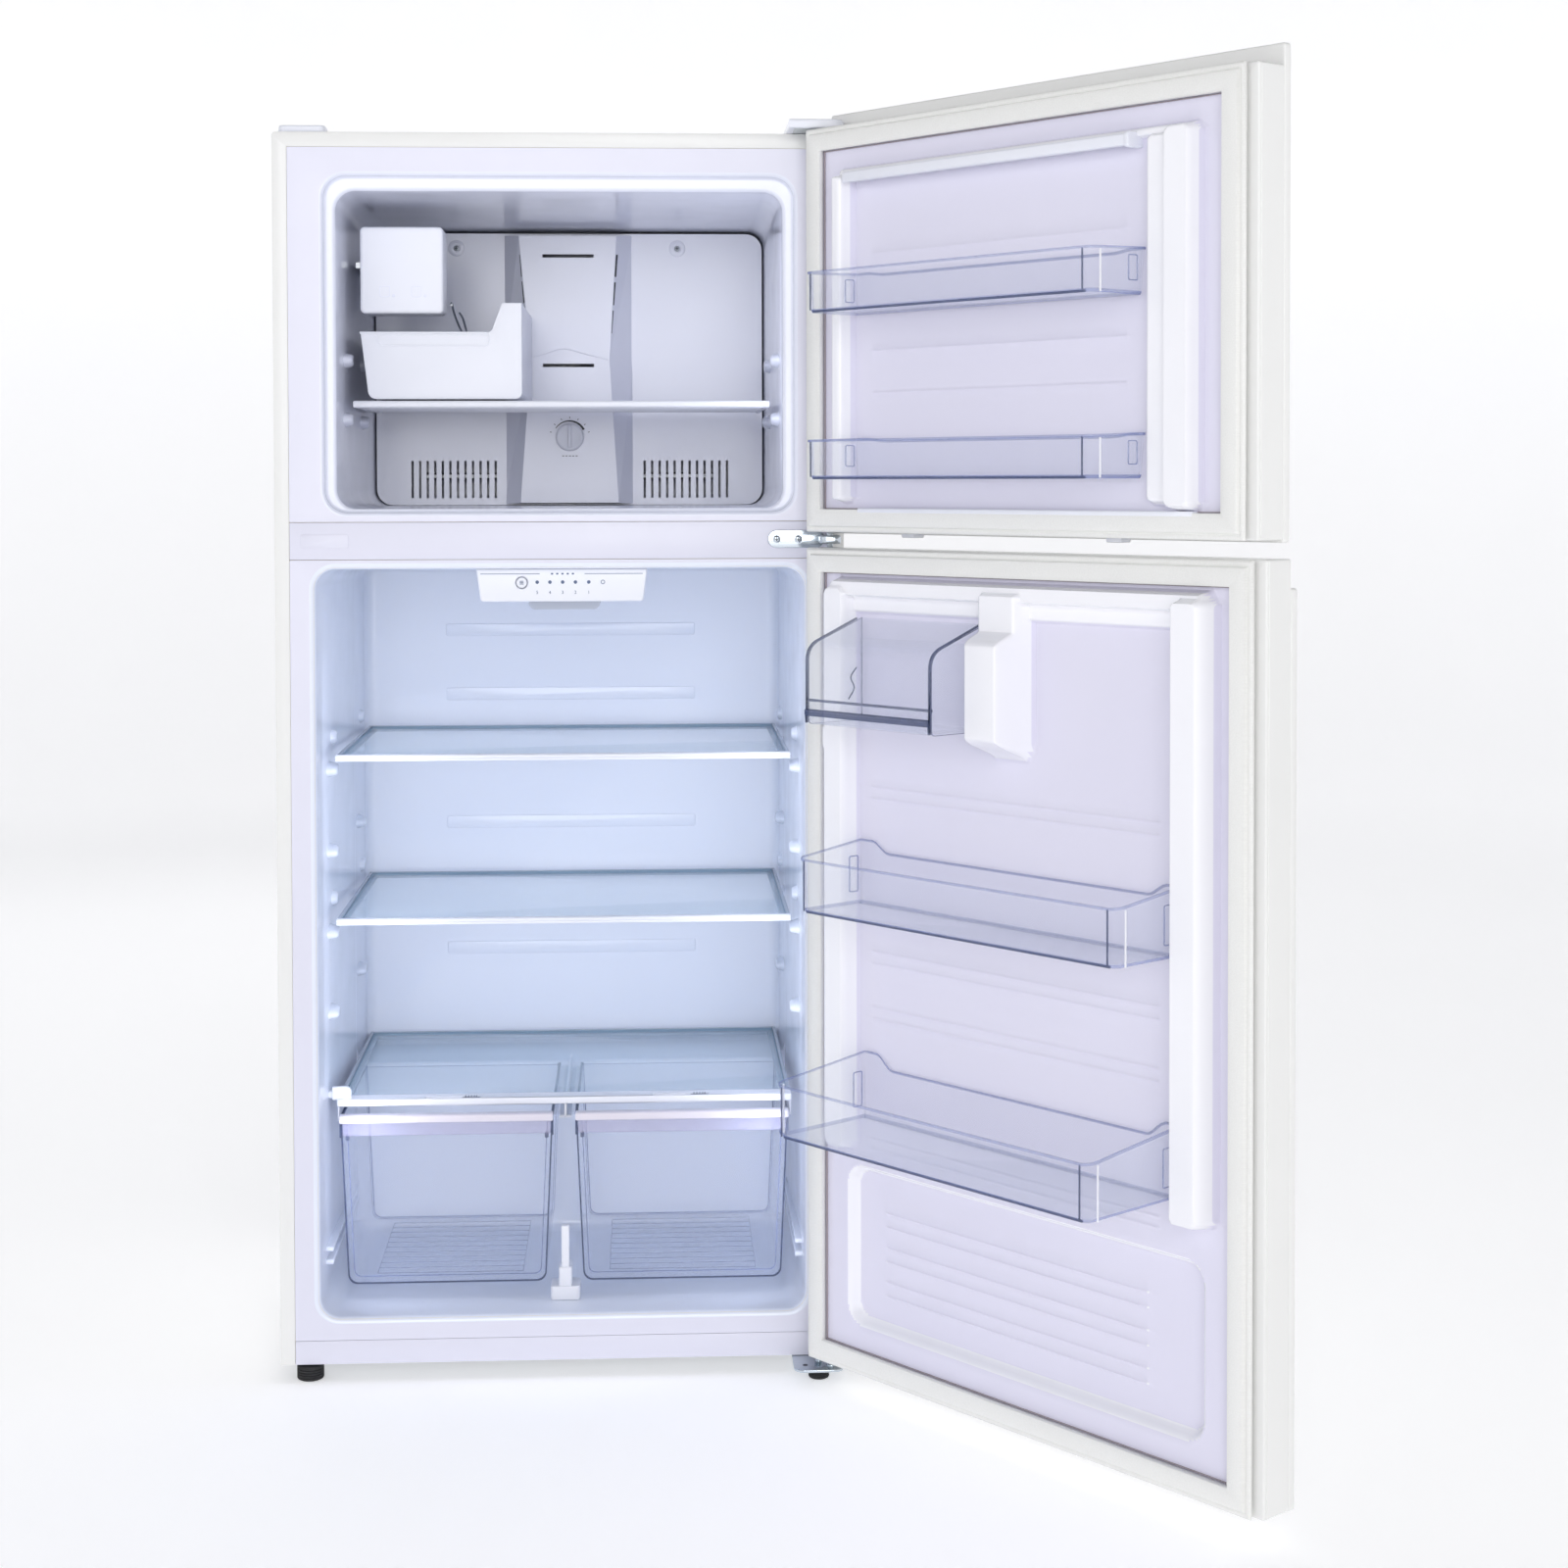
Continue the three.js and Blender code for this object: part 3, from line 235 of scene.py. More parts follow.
# painted highlight: a whiter, glossier copy of the door sheet laid over the ridges' crests and down a tray's
# flanks, so that they look lit
DOOR_SHEET_HIGHLIGHT = Finish("formed_polystyrene_painted_highlight", "door_liner", "#FAFAFE", "#F8F8FD", Grain.FORMED,
                    90.0, 0.05, (0.19, 0.26), wander_mm=400, ior=1.59)
# plasticised vinyl, extruded and welded at the corners: soft, satin, warm white
GASKET_VINYL = Finish("extruded_gasket_vinyl", "gasket_vinyl", "#EFEFEC", "#EAEAE7", Grain.BRUSHED,
                      1.5, 0.02, (0.42, 0.5), ior=1.53)
# acrylonitrile butadiene styrene, moulded with a fine spark grain: white and satin
ABS = Finish("moulded_abs", "white_moulding", "#ECEEF6", "#EAECF5", Grain.SPARKED, 0.9, 0.015, (0.3, 0.4),
             wander_mm=400,
             ior=1.53)
# the evaporator cover is formed from the same white polystyrene, less glossy than the liner
COVER_SHEET = Finish("formed_polystyrene_cover", "cabinet_liner", "#ECEEF9", "#EAECF8", Grain.FORMED,
                     80.0, 0.05, (0.19, 0.26), wander_mm=400, ior=1.59)
# crystal polystyrene, moulded with polished walls: nearly colourless face on, blue-grey along the wall
CRYSTAL = Finish("crystal_polystyrene", "clear_moulding", "#D8E0F4", "#D4DCF2", Grain.POLISHED,
                 40.0, 0.02, (0.03, 0.06), ior=1.59, alpha=0.05, rim_alpha=0.32)
# its cut edges and folds in dark blue: partly the tint that light takes running along the wall, partly
# painted shade for what these edges refract
CRYSTAL_EDGE_SHADE = Finish("crystal_polystyrene_edge_shade", "clear_moulding", "#46557F", "#3C4A73", Grain.POLISHED,
                      40.0, 0.01, (0.06, 0.1), ior=1.59, alpha=0.62, rim_alpha=0.85)
# float glass, tempered: faint cyan face on
SHELF_GLASS = Finish("tempered_float_glass", "shelf_glass", "#DAF1FF", "#D6EEFE", Grain.POLISHED,
                     90.0, 0.01, (0.02, 0.04), ior=1.52, alpha=0.18, rim_alpha=0.3)
# its ground edge
GLASS_EDGE = Finish("ground_glass_edge", "shelf_glass", "#7FA6BF", "#739AB4", Grain.SPARKED,
                    0.8, 0.02, (0.2, 0.26), ior=1.52, alpha=0.8, rim_alpha=0.9)
# steel sheet, punched and plated with bright chrome
CHROME = Finish("bright_chrome_plate", "hinge_chrome", "#CBD3DA", "#C3CBD3", Grain.BRUSHED, 1.2, 0.006,
                (0.1, 0.18), metallic=1.0)
# hot-dip galvanised sheet: matt grey with leafy crystals
ZINC = Finish("hot_dip_zinc", "zinc_sheet", "#B4B9BD", "#ABB0B4", Grain.SPANGLED, 9.0, 0.01, (0.34, 0.5),
              metallic=1.0)
# spring steel wire, drawn and nickel plated
WIRE = Finish("nickel_plated_wire", "zinc_sheet", "#B9BDC2", "#A9AEB4", Grain.BRUSHED, 0.8, 0.01,
              (0.2, 0.26), metallic=1.0)
# chloroprene rubber, moulded: black and matt
RUBBER = Finish("moulded_chloroprene", "black_rubber", "#1B1B1D", "#232326", Grain.SPARKED, 1.2, 0.04,
                (0.6, 0.75), wander_mm=25, ior=1.52)
# black polypropylene, moulded with a fine grain
POLYPROPYLENE = Finish("black_polypropylene", "black_moulding", "#17181B", "#1F2023", Grain.SPARKED,
                       1.0, 0.03, (0.4, 0.52), wander_mm=40, ior=1.49)
# pressed steel with black stoving enamel
BLACK_ENAMEL = Finish("black_stoving_enamel", "black_enamel", "#17181A", "#1F2023", Grain.ORANGE_PEEL,
                      2.5, 0.03, (0.28, 0.38), coat=0.2)
# copper tube and fins, dulled by air
COPPER = Finish("drawn_copper", "copper_coil", "#B4714C", "#9C5D3C", Grain.BRUSHED, 1.4, 0.01, (0.28, 0.42),
                wander_mm=35, metallic=1.0)
# rolled aluminium fins and mould, left as it came from the mill
ALUMINIUM = Finish("mill_aluminium", "aluminium_coil", "#C6C9CC", "#B8BCC0", Grain.BRUSHED, 1.2, 0.012,
                   (0.3, 0.42), metallic=1.0)
# polyurethane foam, blown in place
FOAM = Finish("blown_polyurethane", "foam_core", "#EBDDB2", "#DFCF9F", Grain.SPARKED, 1.5, 0.2,
              (0.8, 0.9), wander_mm=20)
# pad-printed ink on plastic: grey blue and slightly raised
INK = Finish("pad_printed_ink", "white_moulding", "#5B6B8C", "#53637F", Grain.SPARKED, 0.6, 0.004,
             (0.45, 0.55))
# the same ink in near black for real print, and painted shade: dark marks that stand for the shade in screw
# recesses, air slots and holes
DARK_INK_AND_SHADE = Finish("dark_ink_and_painted_shade", "black_moulding", "#2C2F38", "#24272F", Grain.SPARKED, 0.6, 0.004,
                  (0.5, 0.6))
# acrylic diffuser, moulded and frosted inside
DIFFUSER = Finish("frosted_acrylic", "clear_moulding", "#C6CCDA", "#BEC5D5", Grain.SPARKED, 0.8, 0.03,
                  (0.35, 0.45), ior=1.49, alpha=0.78, rim_alpha=0.92)
# clear polystyrene rail, seen as a grey line beside the glass
RAIL = Finish("clear_rail_polystyrene", "white_moulding", "#C3CDDB", "#BAC5D5", Grain.POLISHED, 30, 0.01,
              (0.08, 0.14), ior=1.59, alpha=0.75, rim_alpha=0.9)
# grey acetal slider
SLIDER = Finish("grey_acetal", "white_moulding", "#7E8596", "#767D8F", Grain.SPARKED, 0.8, 0.02, (0.35, 0.45))
# the drawer's front bar: white pigment in polystyrene, faintly pink
PEARL = Finish("pearl_polystyrene", "white_moulding", "#E3DEE8", "#DFDAE5", Grain.POLISHED, 30, 0.01,
               (0.12, 0.2), ior=1.59)
# ribs moulded into the drawer's floor
CRYSTAL_RIB = Finish("crystal_polystyrene_rib", "clear_moulding", "#97A4C4", "#919EBF", Grain.POLISHED,
                     30.0, 0.01, (0.06, 0.1), ior=1.59, alpha=0.35, rim_alpha=0.6)
# the thin turned rim of bins and drawers, drawn as a periwinkle line: partly the wall's own tint, partly
# painted shade, lighter than on the cut edges
CRYSTAL_RIM_SHADE = Finish("crystal_polystyrene_rim_shade", "clear_moulding", "#8794C6", "#808DC0", Grain.POLISHED,
                     40.0, 0.01, (0.06, 0.1), ior=1.59, alpha=0.5, rim_alpha=0.72)
# painted highlight: a near white strip beside an upright corner of a clear bin, standing for the glint that
# the corner's fillet reflects
CRYSTAL_PAINTED_GLINT = Finish("crystal_polystyrene_painted_glint", "clear_moulding", "#FBFBFF", "#F6F7FF", Grain.POLISHED,
                       40.0, 0.01, (0.04, 0.08), ior=1.59, alpha=0.85, rim_alpha=0.95)
# the doubled wall behind the drawer's front bar
CRYSTAL_BAND = Finish("crystal_polystyrene_band", "clear_moulding", "#C3BFDC", "#BFBBD9", Grain.POLISHED,
                      40.0, 0.01, (0.08, 0.12), ior=1.59, alpha=0.34, rim_alpha=0.5)
# painted shadow: a brown grey strip just inside the gasket, standing for the shade that its magnet chamber
# casts
SEAL_SHADOW = Finish("gasket_painted_shadow", "gasket_vinyl", "#A99EA2", "#A1969B", Grain.SPARKED, 0.8, 0.02,
                     (0.5, 0.6))
# seamless studio paper over a lit table, so it glows a little by itself
PAPER = Finish("studio_paper", "white_enamel", "#FAFAFB", "#F8F8F9", Grain.SPARKED, 2.0, 0.0, (0.8, 0.9),
               wander_mm=900, glow=0.38)


# ---------------------------------------------------------------- forms
@dataclass
class Form:
    """A closed surface: points in millimetres, faces, and for each face the finish it takes."""

    points: np.ndarray
    faces: list[tuple[int, ...]]
    marks: list[int]

    def with_mark(self, mark: int) -> "Form":
        """The same form with one finish all over."""
        return Form(self.points, self.faces, [mark] * len(self.faces))

    def moved(self, x: float = 0.0, y: float = 0.0, z: float = 0.0) -> "Form":
        """The same form, moved."""
        return Form(self.points + np.array([x, y, z]), self.faces, self.marks)


def joined(forms: Sequence[Form]) -> Form:
    """Puts several forms into one, each still closed on its own."""
    points, faces, marks, start = [], [], [], 0
    for form in forms:
        points.append(form.points)
        faces += [tuple(i + start for i in face) for face in form.faces]
        marks += form.marks
        start += len(form.points)
    return Form(np.vstack(points), faces, marks)


def grown(span: Span, by: float) -> Span:
    """The span with both ends moved out."""
    return span[0] - by, span[1] + by


def even(half: float) -> Span:
    """The span from -half to half."""
    return -half, half


def rounded_loop(u: Span, v: Span, radius: float | Sequence[float], steps: int = 6) -> np.ndarray:
    """A rounded rectangle, counter-clockwise from its lower right corner.

    Args:
        u: its span across.
        v: its span upwards.
        radius: one for all corners, or lower right, upper right, upper left and lower left.
        steps: segments in each corner.

    Returns:
        The points, four times steps + 1 of them.
    """
    radii = [radius] * 4 if isinstance(radius, (int, float)) else list(radius)
    limit = min(u[1] - u[0], v[1] - v[0]) / 2 - 0.02
    corners = [(u[1], v[0], -1, 1), (u[1], v[1], -1, -1), (u[0], v[1], 1, -1), (u[0], v[0], 1, 1)]
    points = []
    for turn, ((cu, cv, su, sv), wanted) in enumerate(zip(corners, radii)):
        r = max(min(wanted, limit), 0.05)
        for k in range(steps + 1):
            angle = math.radians(-90 + 90 * turn + 90 * k / steps)
            points.append((cu + su * r + r * math.cos(angle), cv + sv * r + r * math.sin(angle)))
    return np.array(points)


def inset(loop: np.ndarray, distance: float) -> np.ndarray:
    """Moves a counter-clockwise outline inwards by a distance."""
    before = loop - np.roll(loop, 1, axis=0)
    after = np.roll(loop, -1, axis=0) - loop
    before /= np.maximum(np.linalg.norm(before, axis=1, keepdims=True), 1e-9)
    after /= np.maximum(np.linalg.norm(after, axis=1, keepdims=True), 1e-9)
    left_before = np.stack([-before[:, 1], before[:, 0]], axis=1)
    left_after = np.stack([-after[:, 1], after[:, 0]], axis=1)
    together = 1 + np.sum(left_before * left_after, axis=1, keepdims=True)
    return loop + distance * (left_before + left_after) / np.maximum(together, 0.3)


def set_at(axis: str, loop: np.ndarray, depth: float | np.ndarray) -> np.ndarray:
    """Stands a flat outline across an axis: along x it is drawn in Y-Z, along y in X-Z, along z in X-Y."""
    depths = np.full(len(loop), float(depth)) if np.isscalar(depth) else depth
    columns = {"x": (depths, loop[:, 0], loop[:, 1]), "y": (loop[:, 0], depths, loop[:, 1]),
               "z": (loop[:, 0], loop[:, 1], depths)}
    return np.stack(columns[axis], axis=1)


def skin(rings: Sequence[np.ndarray], capped: bool = True, marks: Sequence[int] | None = None) -> Form:
    """Joins rings of equally many points with a band of faces between each two.

    Args:
        rings: the rings, in order.
        capped: whether the first and last ring are closed over; otherwise the last meets the first.
        marks: the finish of each band, and then of the two caps.

    Returns:
        The closed form.
    """
    size, count = len(rings[0]), len(rings)
    bands = count - 1 if capped else count
    marks = list(marks) if marks is not None else [0] * (bands + 2)
    faces, face_marks = [], []
    for band in range(bands):
        low, high = band * size, ((band + 1) % count) * size
        for i in range(size):
            j = (i + 1) % size
            faces.append((low + i, low + j, high + j, high + i))
            face_marks.append(marks[band])
    if capped:
        faces.append(tuple(reversed(range(size))))
        faces.append(tuple(range((count - 1) * size, count * size)))
        face_marks += marks[bands:bands + 2]
    return Form(np.vstack(rings), faces, face_marks)


def rounding(edge: float, steps: int) -> list[tuple[float, float]]:
    """How far in and how far down the points of a rounded edge lie."""
    angles = [math.radians(90 * k / steps) for k in range(steps + 1)]
    return [(edge * (1 - math.sin(a)), edge * (1 - math.cos(a))) for a in angles]


def slab(axis: str, outline: np.ndarray, span: Span, edge: float = 0.8, steps: int = 2,
         holes: Sequence[np.ndarray] = (), rim: int = 0, flat: float = 0.0) -> Form:
    """A plate of any outline with rounded edges and holes.

    Args:
        axis: the axis that it is pushed along.
        outline: its outline, counter-clockwise.
        span: where it starts and ends along the axis.
        edge: the radius of its edges.
        steps: segments across each edge.
        holes: outlines cut out of it, counter-clockwise.
        rim: the finish of its side walls.
        flat: a level margin inside each edge, which keeps the shading of a wide face even.

    Returns:
        The closed form.
    """
    edge = min(edge, (span[1] - span[0]) / 2.01)
    bends = rounding(edge, steps)
    levels = [(d, span[0] + t) for d, t in bends] + [(d, span[1] - t) for d, t in reversed(bends)]
    if flat:
        levels = [(levels[0][0] + flat, levels[0][1]), *levels, (levels[-1][0] + flat, levels[-1][1])]
    points, faces, marks, fronts, backs = [], [], [], [], []
    for number, loop in enumerate([outline, *holes]):
        sign = -1 if number else 1
        rings = [set_at(axis, inset(loop, sign * d), at) for d, at in levels]
        start, size = sum(len(p) for p in points), len(loop)
        walls = skin(rings, marks=[rim] * (len(rings) + 1))
        faces += [tuple(i + start for i in face) for face in walls.faces[:-2]]
        marks += walls.marks[:-2]
        points.append(walls.points)
        fronts.append([start + i for i in range(size)])
        backs.append([start + (len(rings) - 1) * size + i for i in range(size)])
    whole = np.vstack(points)
    for ends in (fronts, backs):
        if holes:
            faces += cap_with_holes([[Vector(whole[i]) for i in ring] for ring in ends], ends)
            marks += [0] * (len(faces) - len(marks))
        else:
            faces.append(tuple(ends[0]))
            marks.append(0)
    return Form(whole, faces, marks)


def cap_with_holes(loops: Sequence[Sequence[Vector]],
                   indices: Sequence[Sequence[int]]) -> list[tuple[int, ...]]:
    """Fills a flat outline with holes by triangles; returns faces as the given indices."""
    flat = [i for ring in indices for i in ring]
    return [tuple(flat[i] for i in triangle) for triangle in tessellate_polygon(loops)]


def rounded_slab(axis: str, u: Span, v: Span, span: Span, radius: float = 2.0, edge: float = 0.8,
                 steps: int = 2) -> Form:
    """A rounded rectangular plate or bar along an axis."""
    return slab(axis, rounded_loop(u, v, radius, 4), span, edge, steps)


def box_form(x: Span, y: Span, z: Span, edge: float = 0.8) -> Form:
    """A box with rounded edges."""
    return slab("z", rounded_loop(x, y, edge, 2), z, edge, 2)


def turned(axis: str, centre: Point, profile: Sequence[tuple[float, float]], sides: int = 28) -> Form:
    """A turned form.

    Args:
        axis: the axis that it is turned about.
        centre: a point on that axis.
        profile: (distance along the axis from the centre, radius), in order.
        sides: segments around.

    Returns:
        The closed form.
    """
    angles = np.linspace(0, 2 * math.pi, sides, endpoint=False)
    circle = np.stack([np.cos(angles), np.sin(angles)], axis=1)
    return skin([set_at(axis, circle * max(r, 0.01), at) for at, r in profile]).moved(*centre)


def wire_form(path: Sequence[Point], radius: float, sides: int = 10, bend_steps: int = 8) -> Form:
    """A round wire along a smooth path through the given points."""
    knots = np.array(path, float)
    padded = np.vstack([2 * knots[0] - knots[1], knots, 2 * knots[-1] - knots[-2]])
    line = []
    for a, b, c, d in zip(padded, padded[1:], padded[2:], padded[3:]):
        for t in np.linspace(0, 1, bend_steps, endpoint=False):
            line.append(0.5 * (2 * b + (c - a) * t + (2 * a - 5 * b + 4 * c - d) * t ** 2
                               + (3 * b - a - 3 * c + d) * t ** 3))
    line.append(knots[-1])
    line = np.array(line)
    along = np.gradient(line, axis=0)
    along /= np.linalg.norm(along, axis=1, keepdims=True)
    side = np.cross(along[0], (0.3, 0.2, 1.0))
    rings = []
    for point, ahead in zip(line, along):
        side = side - ahead * np.dot(side, ahead)
        side /= np.linalg.norm(side)
        up = np.cross(ahead, side)
        turns = np.linspace(0, 2 * math.pi, sides, endpoint=False)[:, None]
        rings.append(point + radius * (np.cos(turns) * side + np.sin(turns) * up))
    return skin(rings)


def screw(axis: str, centre: Point, radius: float, proud: float) -> Form:
    """A domed screw head with a dark cross that stands for its recess, in painted shade as the second finish;
    proud is its height along the axis, which may be negative.
    """
    dome = turned(axis, centre, [(0, radius), (proud * 0.45, radius * 0.97), (proud * 0.8, radius * 0.75),
                                 (proud, radius * 0.35), (proud, 0.0)], 20)
    arms = []
    for along, across in ((0.55, 0.12), (0.12, 0.55)):
        loop = rounded_loop(even(radius * along), even(radius * across), 0.2, 1)
        reach = sorted((proud * 0.6, proud * 1.04))
        arms.append(slab(axis, loop, (reach[0], reach[1]), 0.05, 1).moved(*centre).with_mark(1))
    return joined([dome, *arms])


# ---------------------------------------------------------------- placing
@dataclass(frozen=True)
class Place:
    """Where a form's millimetres lie in the frame, and the body that carries it."""

    body: str
    matrix: Matrix

    def on(self, body: str) -> "Place":
        """The same place, carried by another body."""
        return replace(self, body=body)


def cabinet_place() -> Place:
    """The cabinet's place: its middle and front are read from the outer case."""
    low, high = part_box("outer_case")
    origin = Vector(((low.x + high.x) / 2, low.y, 0.0))
    return Place("cabinet", Matrix.Translation(origin) @ Matrix.Scale(MM, 4))


def door_place(body: str, joint_name: str) -> Place:
    """A door's place, so that its forms can be given where they lie when it is closed.

    Args:
        body: the door's body.
        joint_name: its hinge; the lower limit is the closed door.

    Returns:
        The place of the open door.
    """
    joint = next(j for j in frame["joints"] if j["name"] == joint_name)
    pivot = Vector(joint["pos_m"])
    pivot.z = 0.0
    opened = Matrix.Rotation(math.radians(-joint["range_deg"][0]), 4, "Z")
    turn = Matrix.Translation(pivot) @ opened @ Matrix.Translation(-pivot)
    return Place(body, turn @ cabinet_place().matrix)


def add_piece(name: str, form: Form, place: Place, finishes: Finish | Sequence[Finish],
              replaces: Sequence[str] = (), smooth_deg: float = 38.0) -> bpy.types.Object:
    """Makes a piece of the visual model.

    Args:
        name: the piece's name.
        form: its closed form.
        place: where it lies and what carries it.
        finishes: the finishes that the form's marks count through.
        replaces: the CAD nodes that it stands for.
        smooth_deg: edges blunter than this are shaded smooth.

    Returns:
        The new object.
    """
    finishes = [finishes] if isinstance(finishes, Finish) else list(finishes)
    mesh = bpy.data.meshes.new(name)
    mesh.from_pydata([tuple(p) for p in form.points], [], form.faces)
    mesh.transform(place.matrix)
    for finish in finishes:
        mesh.materials.append(finish.material())
    mesh.polygons.foreach_set("material_index", [min(m, len(finishes) - 1) for m in form.marks])
    face_outwards(mesh)
    mesh.shade_smooth()
    mesh.set_sharp_from_angle(angle=math.radians(smooth_deg))
    piece = bpy.data.objects.new(name, mesh)
    bpy.context.scene.collection.objects.link(piece)
    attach(piece, place.body)
    if replaces:
        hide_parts(*replaces)
    log.info("%s: %d faces on %s", name, len(mesh.polygons), place.body)
    return piece


def face_outwards(mesh: bpy.types.Mesh) -> None:
    """Turns the faces of each closed part of a mesh outwards."""
    shell = bmesh.new()
    shell.from_mesh(mesh)
    bmesh.ops.recalc_face_normals(shell, faces=shell.faces)
    shell.to_mesh(mesh)
    shell.free()


def dress(node: str, finish: Finish) -> None:
    """Gives a CAD node that is shown as it is its finish."""
    part = frame["nodes"][node]
    part.data.materials.clear()
    part.data.materials.append(finish.material())


# ---------------------------------------------------------------- the cabinet
@dataclass
class Enclosure:
    """The painted steel case with what closes its front, top and back."""

    half: float = 378.0
    top: float = 1664.0
    depth: float = 625.0
    bottom: float = 22.0
    sheet: float = 1.2
    lip: float = 19.6
    corner: float = 5.0
    seams: tuple[float, float, float] = (54.1, 1098.4, 1148.4)

    def build(self, place: Place) -> None:
        """Makes every piece of the case."""
        self._case(place)
        self._front_strips(place)
        self._caps(place)
        self._back(place)

    def _wrap(self, inner: float, corner: float) -> np.ndarray:
        """The outline of the bent sheet seen from the front: a wide inverted U of a given thickness."""
        outer = rounded_loop(even(self.half), (self.bottom, self.top), [0.1, corner, corner, 0.1], 5)
        hollow = rounded_loop(even(self.half - inner), (self.bottom, self.top - inner),
                              [0.1, max(corner - inner, 0.6), max(corner - inner, 0.6), 0.1], 5)
        return np.vstack([outer[6:18], [outer[18]], [hollow[18]], hollow[6:18][::-1], [hollow[5]],
                          [outer[5]]])

    def _case(self, place: Place) -> None:
        """The bent sheet with its returned front lip and rear flange."""
        wrap = slab("y", self._wrap(self.sheet, self.corner), (0.0, self.depth), 0.4, 1)
        lip = slab("y", self._wrap(self.lip, self.corner), (-0.01, self.sheet), 0.5, 2)
        flange = slab("y", self._wrap(14.0, self.corner), (self.depth - self.sheet, self.depth), 0.4, 1)
        add_piece("case_sheet", joined([wrap, lip, flange]), place, ENAMEL, ["outer_case"])

    def _front_strips(self, place: Place) -> None:
        """The plastic strips between the two liners and under the lower one."""
        face = self.half - self.lip - 0.3
        low, high = self.seams[1] + 0.3, self.seams[2] - 0.3
        strip = slab("y", rounded_loop(even(face), (low, high), 0.6, 1), (0.2, 2.2), 0.4)
        label = slab("y", rounded_loop((-344, -281), (1113.5, 1132), 2.5, 4), (-0.5, 0.8), 0.35)
        add_piece("mullion_strip", joined([strip, label]), place, CLAMPED_RIM, ["mullion_cover"])
        base = slab("y", rounded_loop(even(face), (self.bottom + 0.3, self.seams[0] - 0.3), 0.6, 1),
                    (0.2, 1.9), 0.4)
        shelf = box_form(even(face), (1.5, 12), (self.seams[0] - 2, self.seams[0] - 0.3), 0.3)
        add_piece("base_strip", joined([base, shelf]), place, CLAMPED_RIM, ["base_rail"])

    def _caps(self, place: Place) -> None:
        """The plug over the spare hinge holes, with a thin bead round its foot."""
        z = self.top + 0.3
        cap = slab("z", rounded_loop((-370, -308), (4, 44), 9, 5), (z, z + 9), 2.6, 4)
        bead = slab("z", rounded_loop((-371.5, -306.5), (2.6, 45.4), 10, 5), (z, z + 1.6), 0.7)
        add_piece("hinge_hole_plug", joined([cap, bead]), place, ABS, ["hinge_hole_cap"])

    def _back(self, place: Place) -> None:
        """The zinc back and its screws."""
        dress("rear_panel", ZINC)
        dress("foam_insulation", FOAM)
        dress("base_pan", ZINC)
        dress("machine_cover", ZINC)
        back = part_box("rear_panel")
        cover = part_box("machine_cover")
        rows = [(x, z) for z in (1650, 1350, 1050, 750, 450) for x in (-368, 368)] + [(0, 1650)]
        y = self.depth + 0.3 + 0.8
        heads = [screw("y", (x, y, z), 4.2, 1.9) for x, z in rows]
        y = self.depth + 0.3 + 1.2
        heads += [screw("y", (x, y, z), 4.2, 1.9) for x in (-366, -120, 120, 366) for z in (52, 292)]
        add_piece("back_screws", joined(heads), place, [ZINC, DARK_INK_AND_SHADE])
        log.info("back panel %.3f m and machine cover %.3f m deep", back[1].y, cover[1].y)


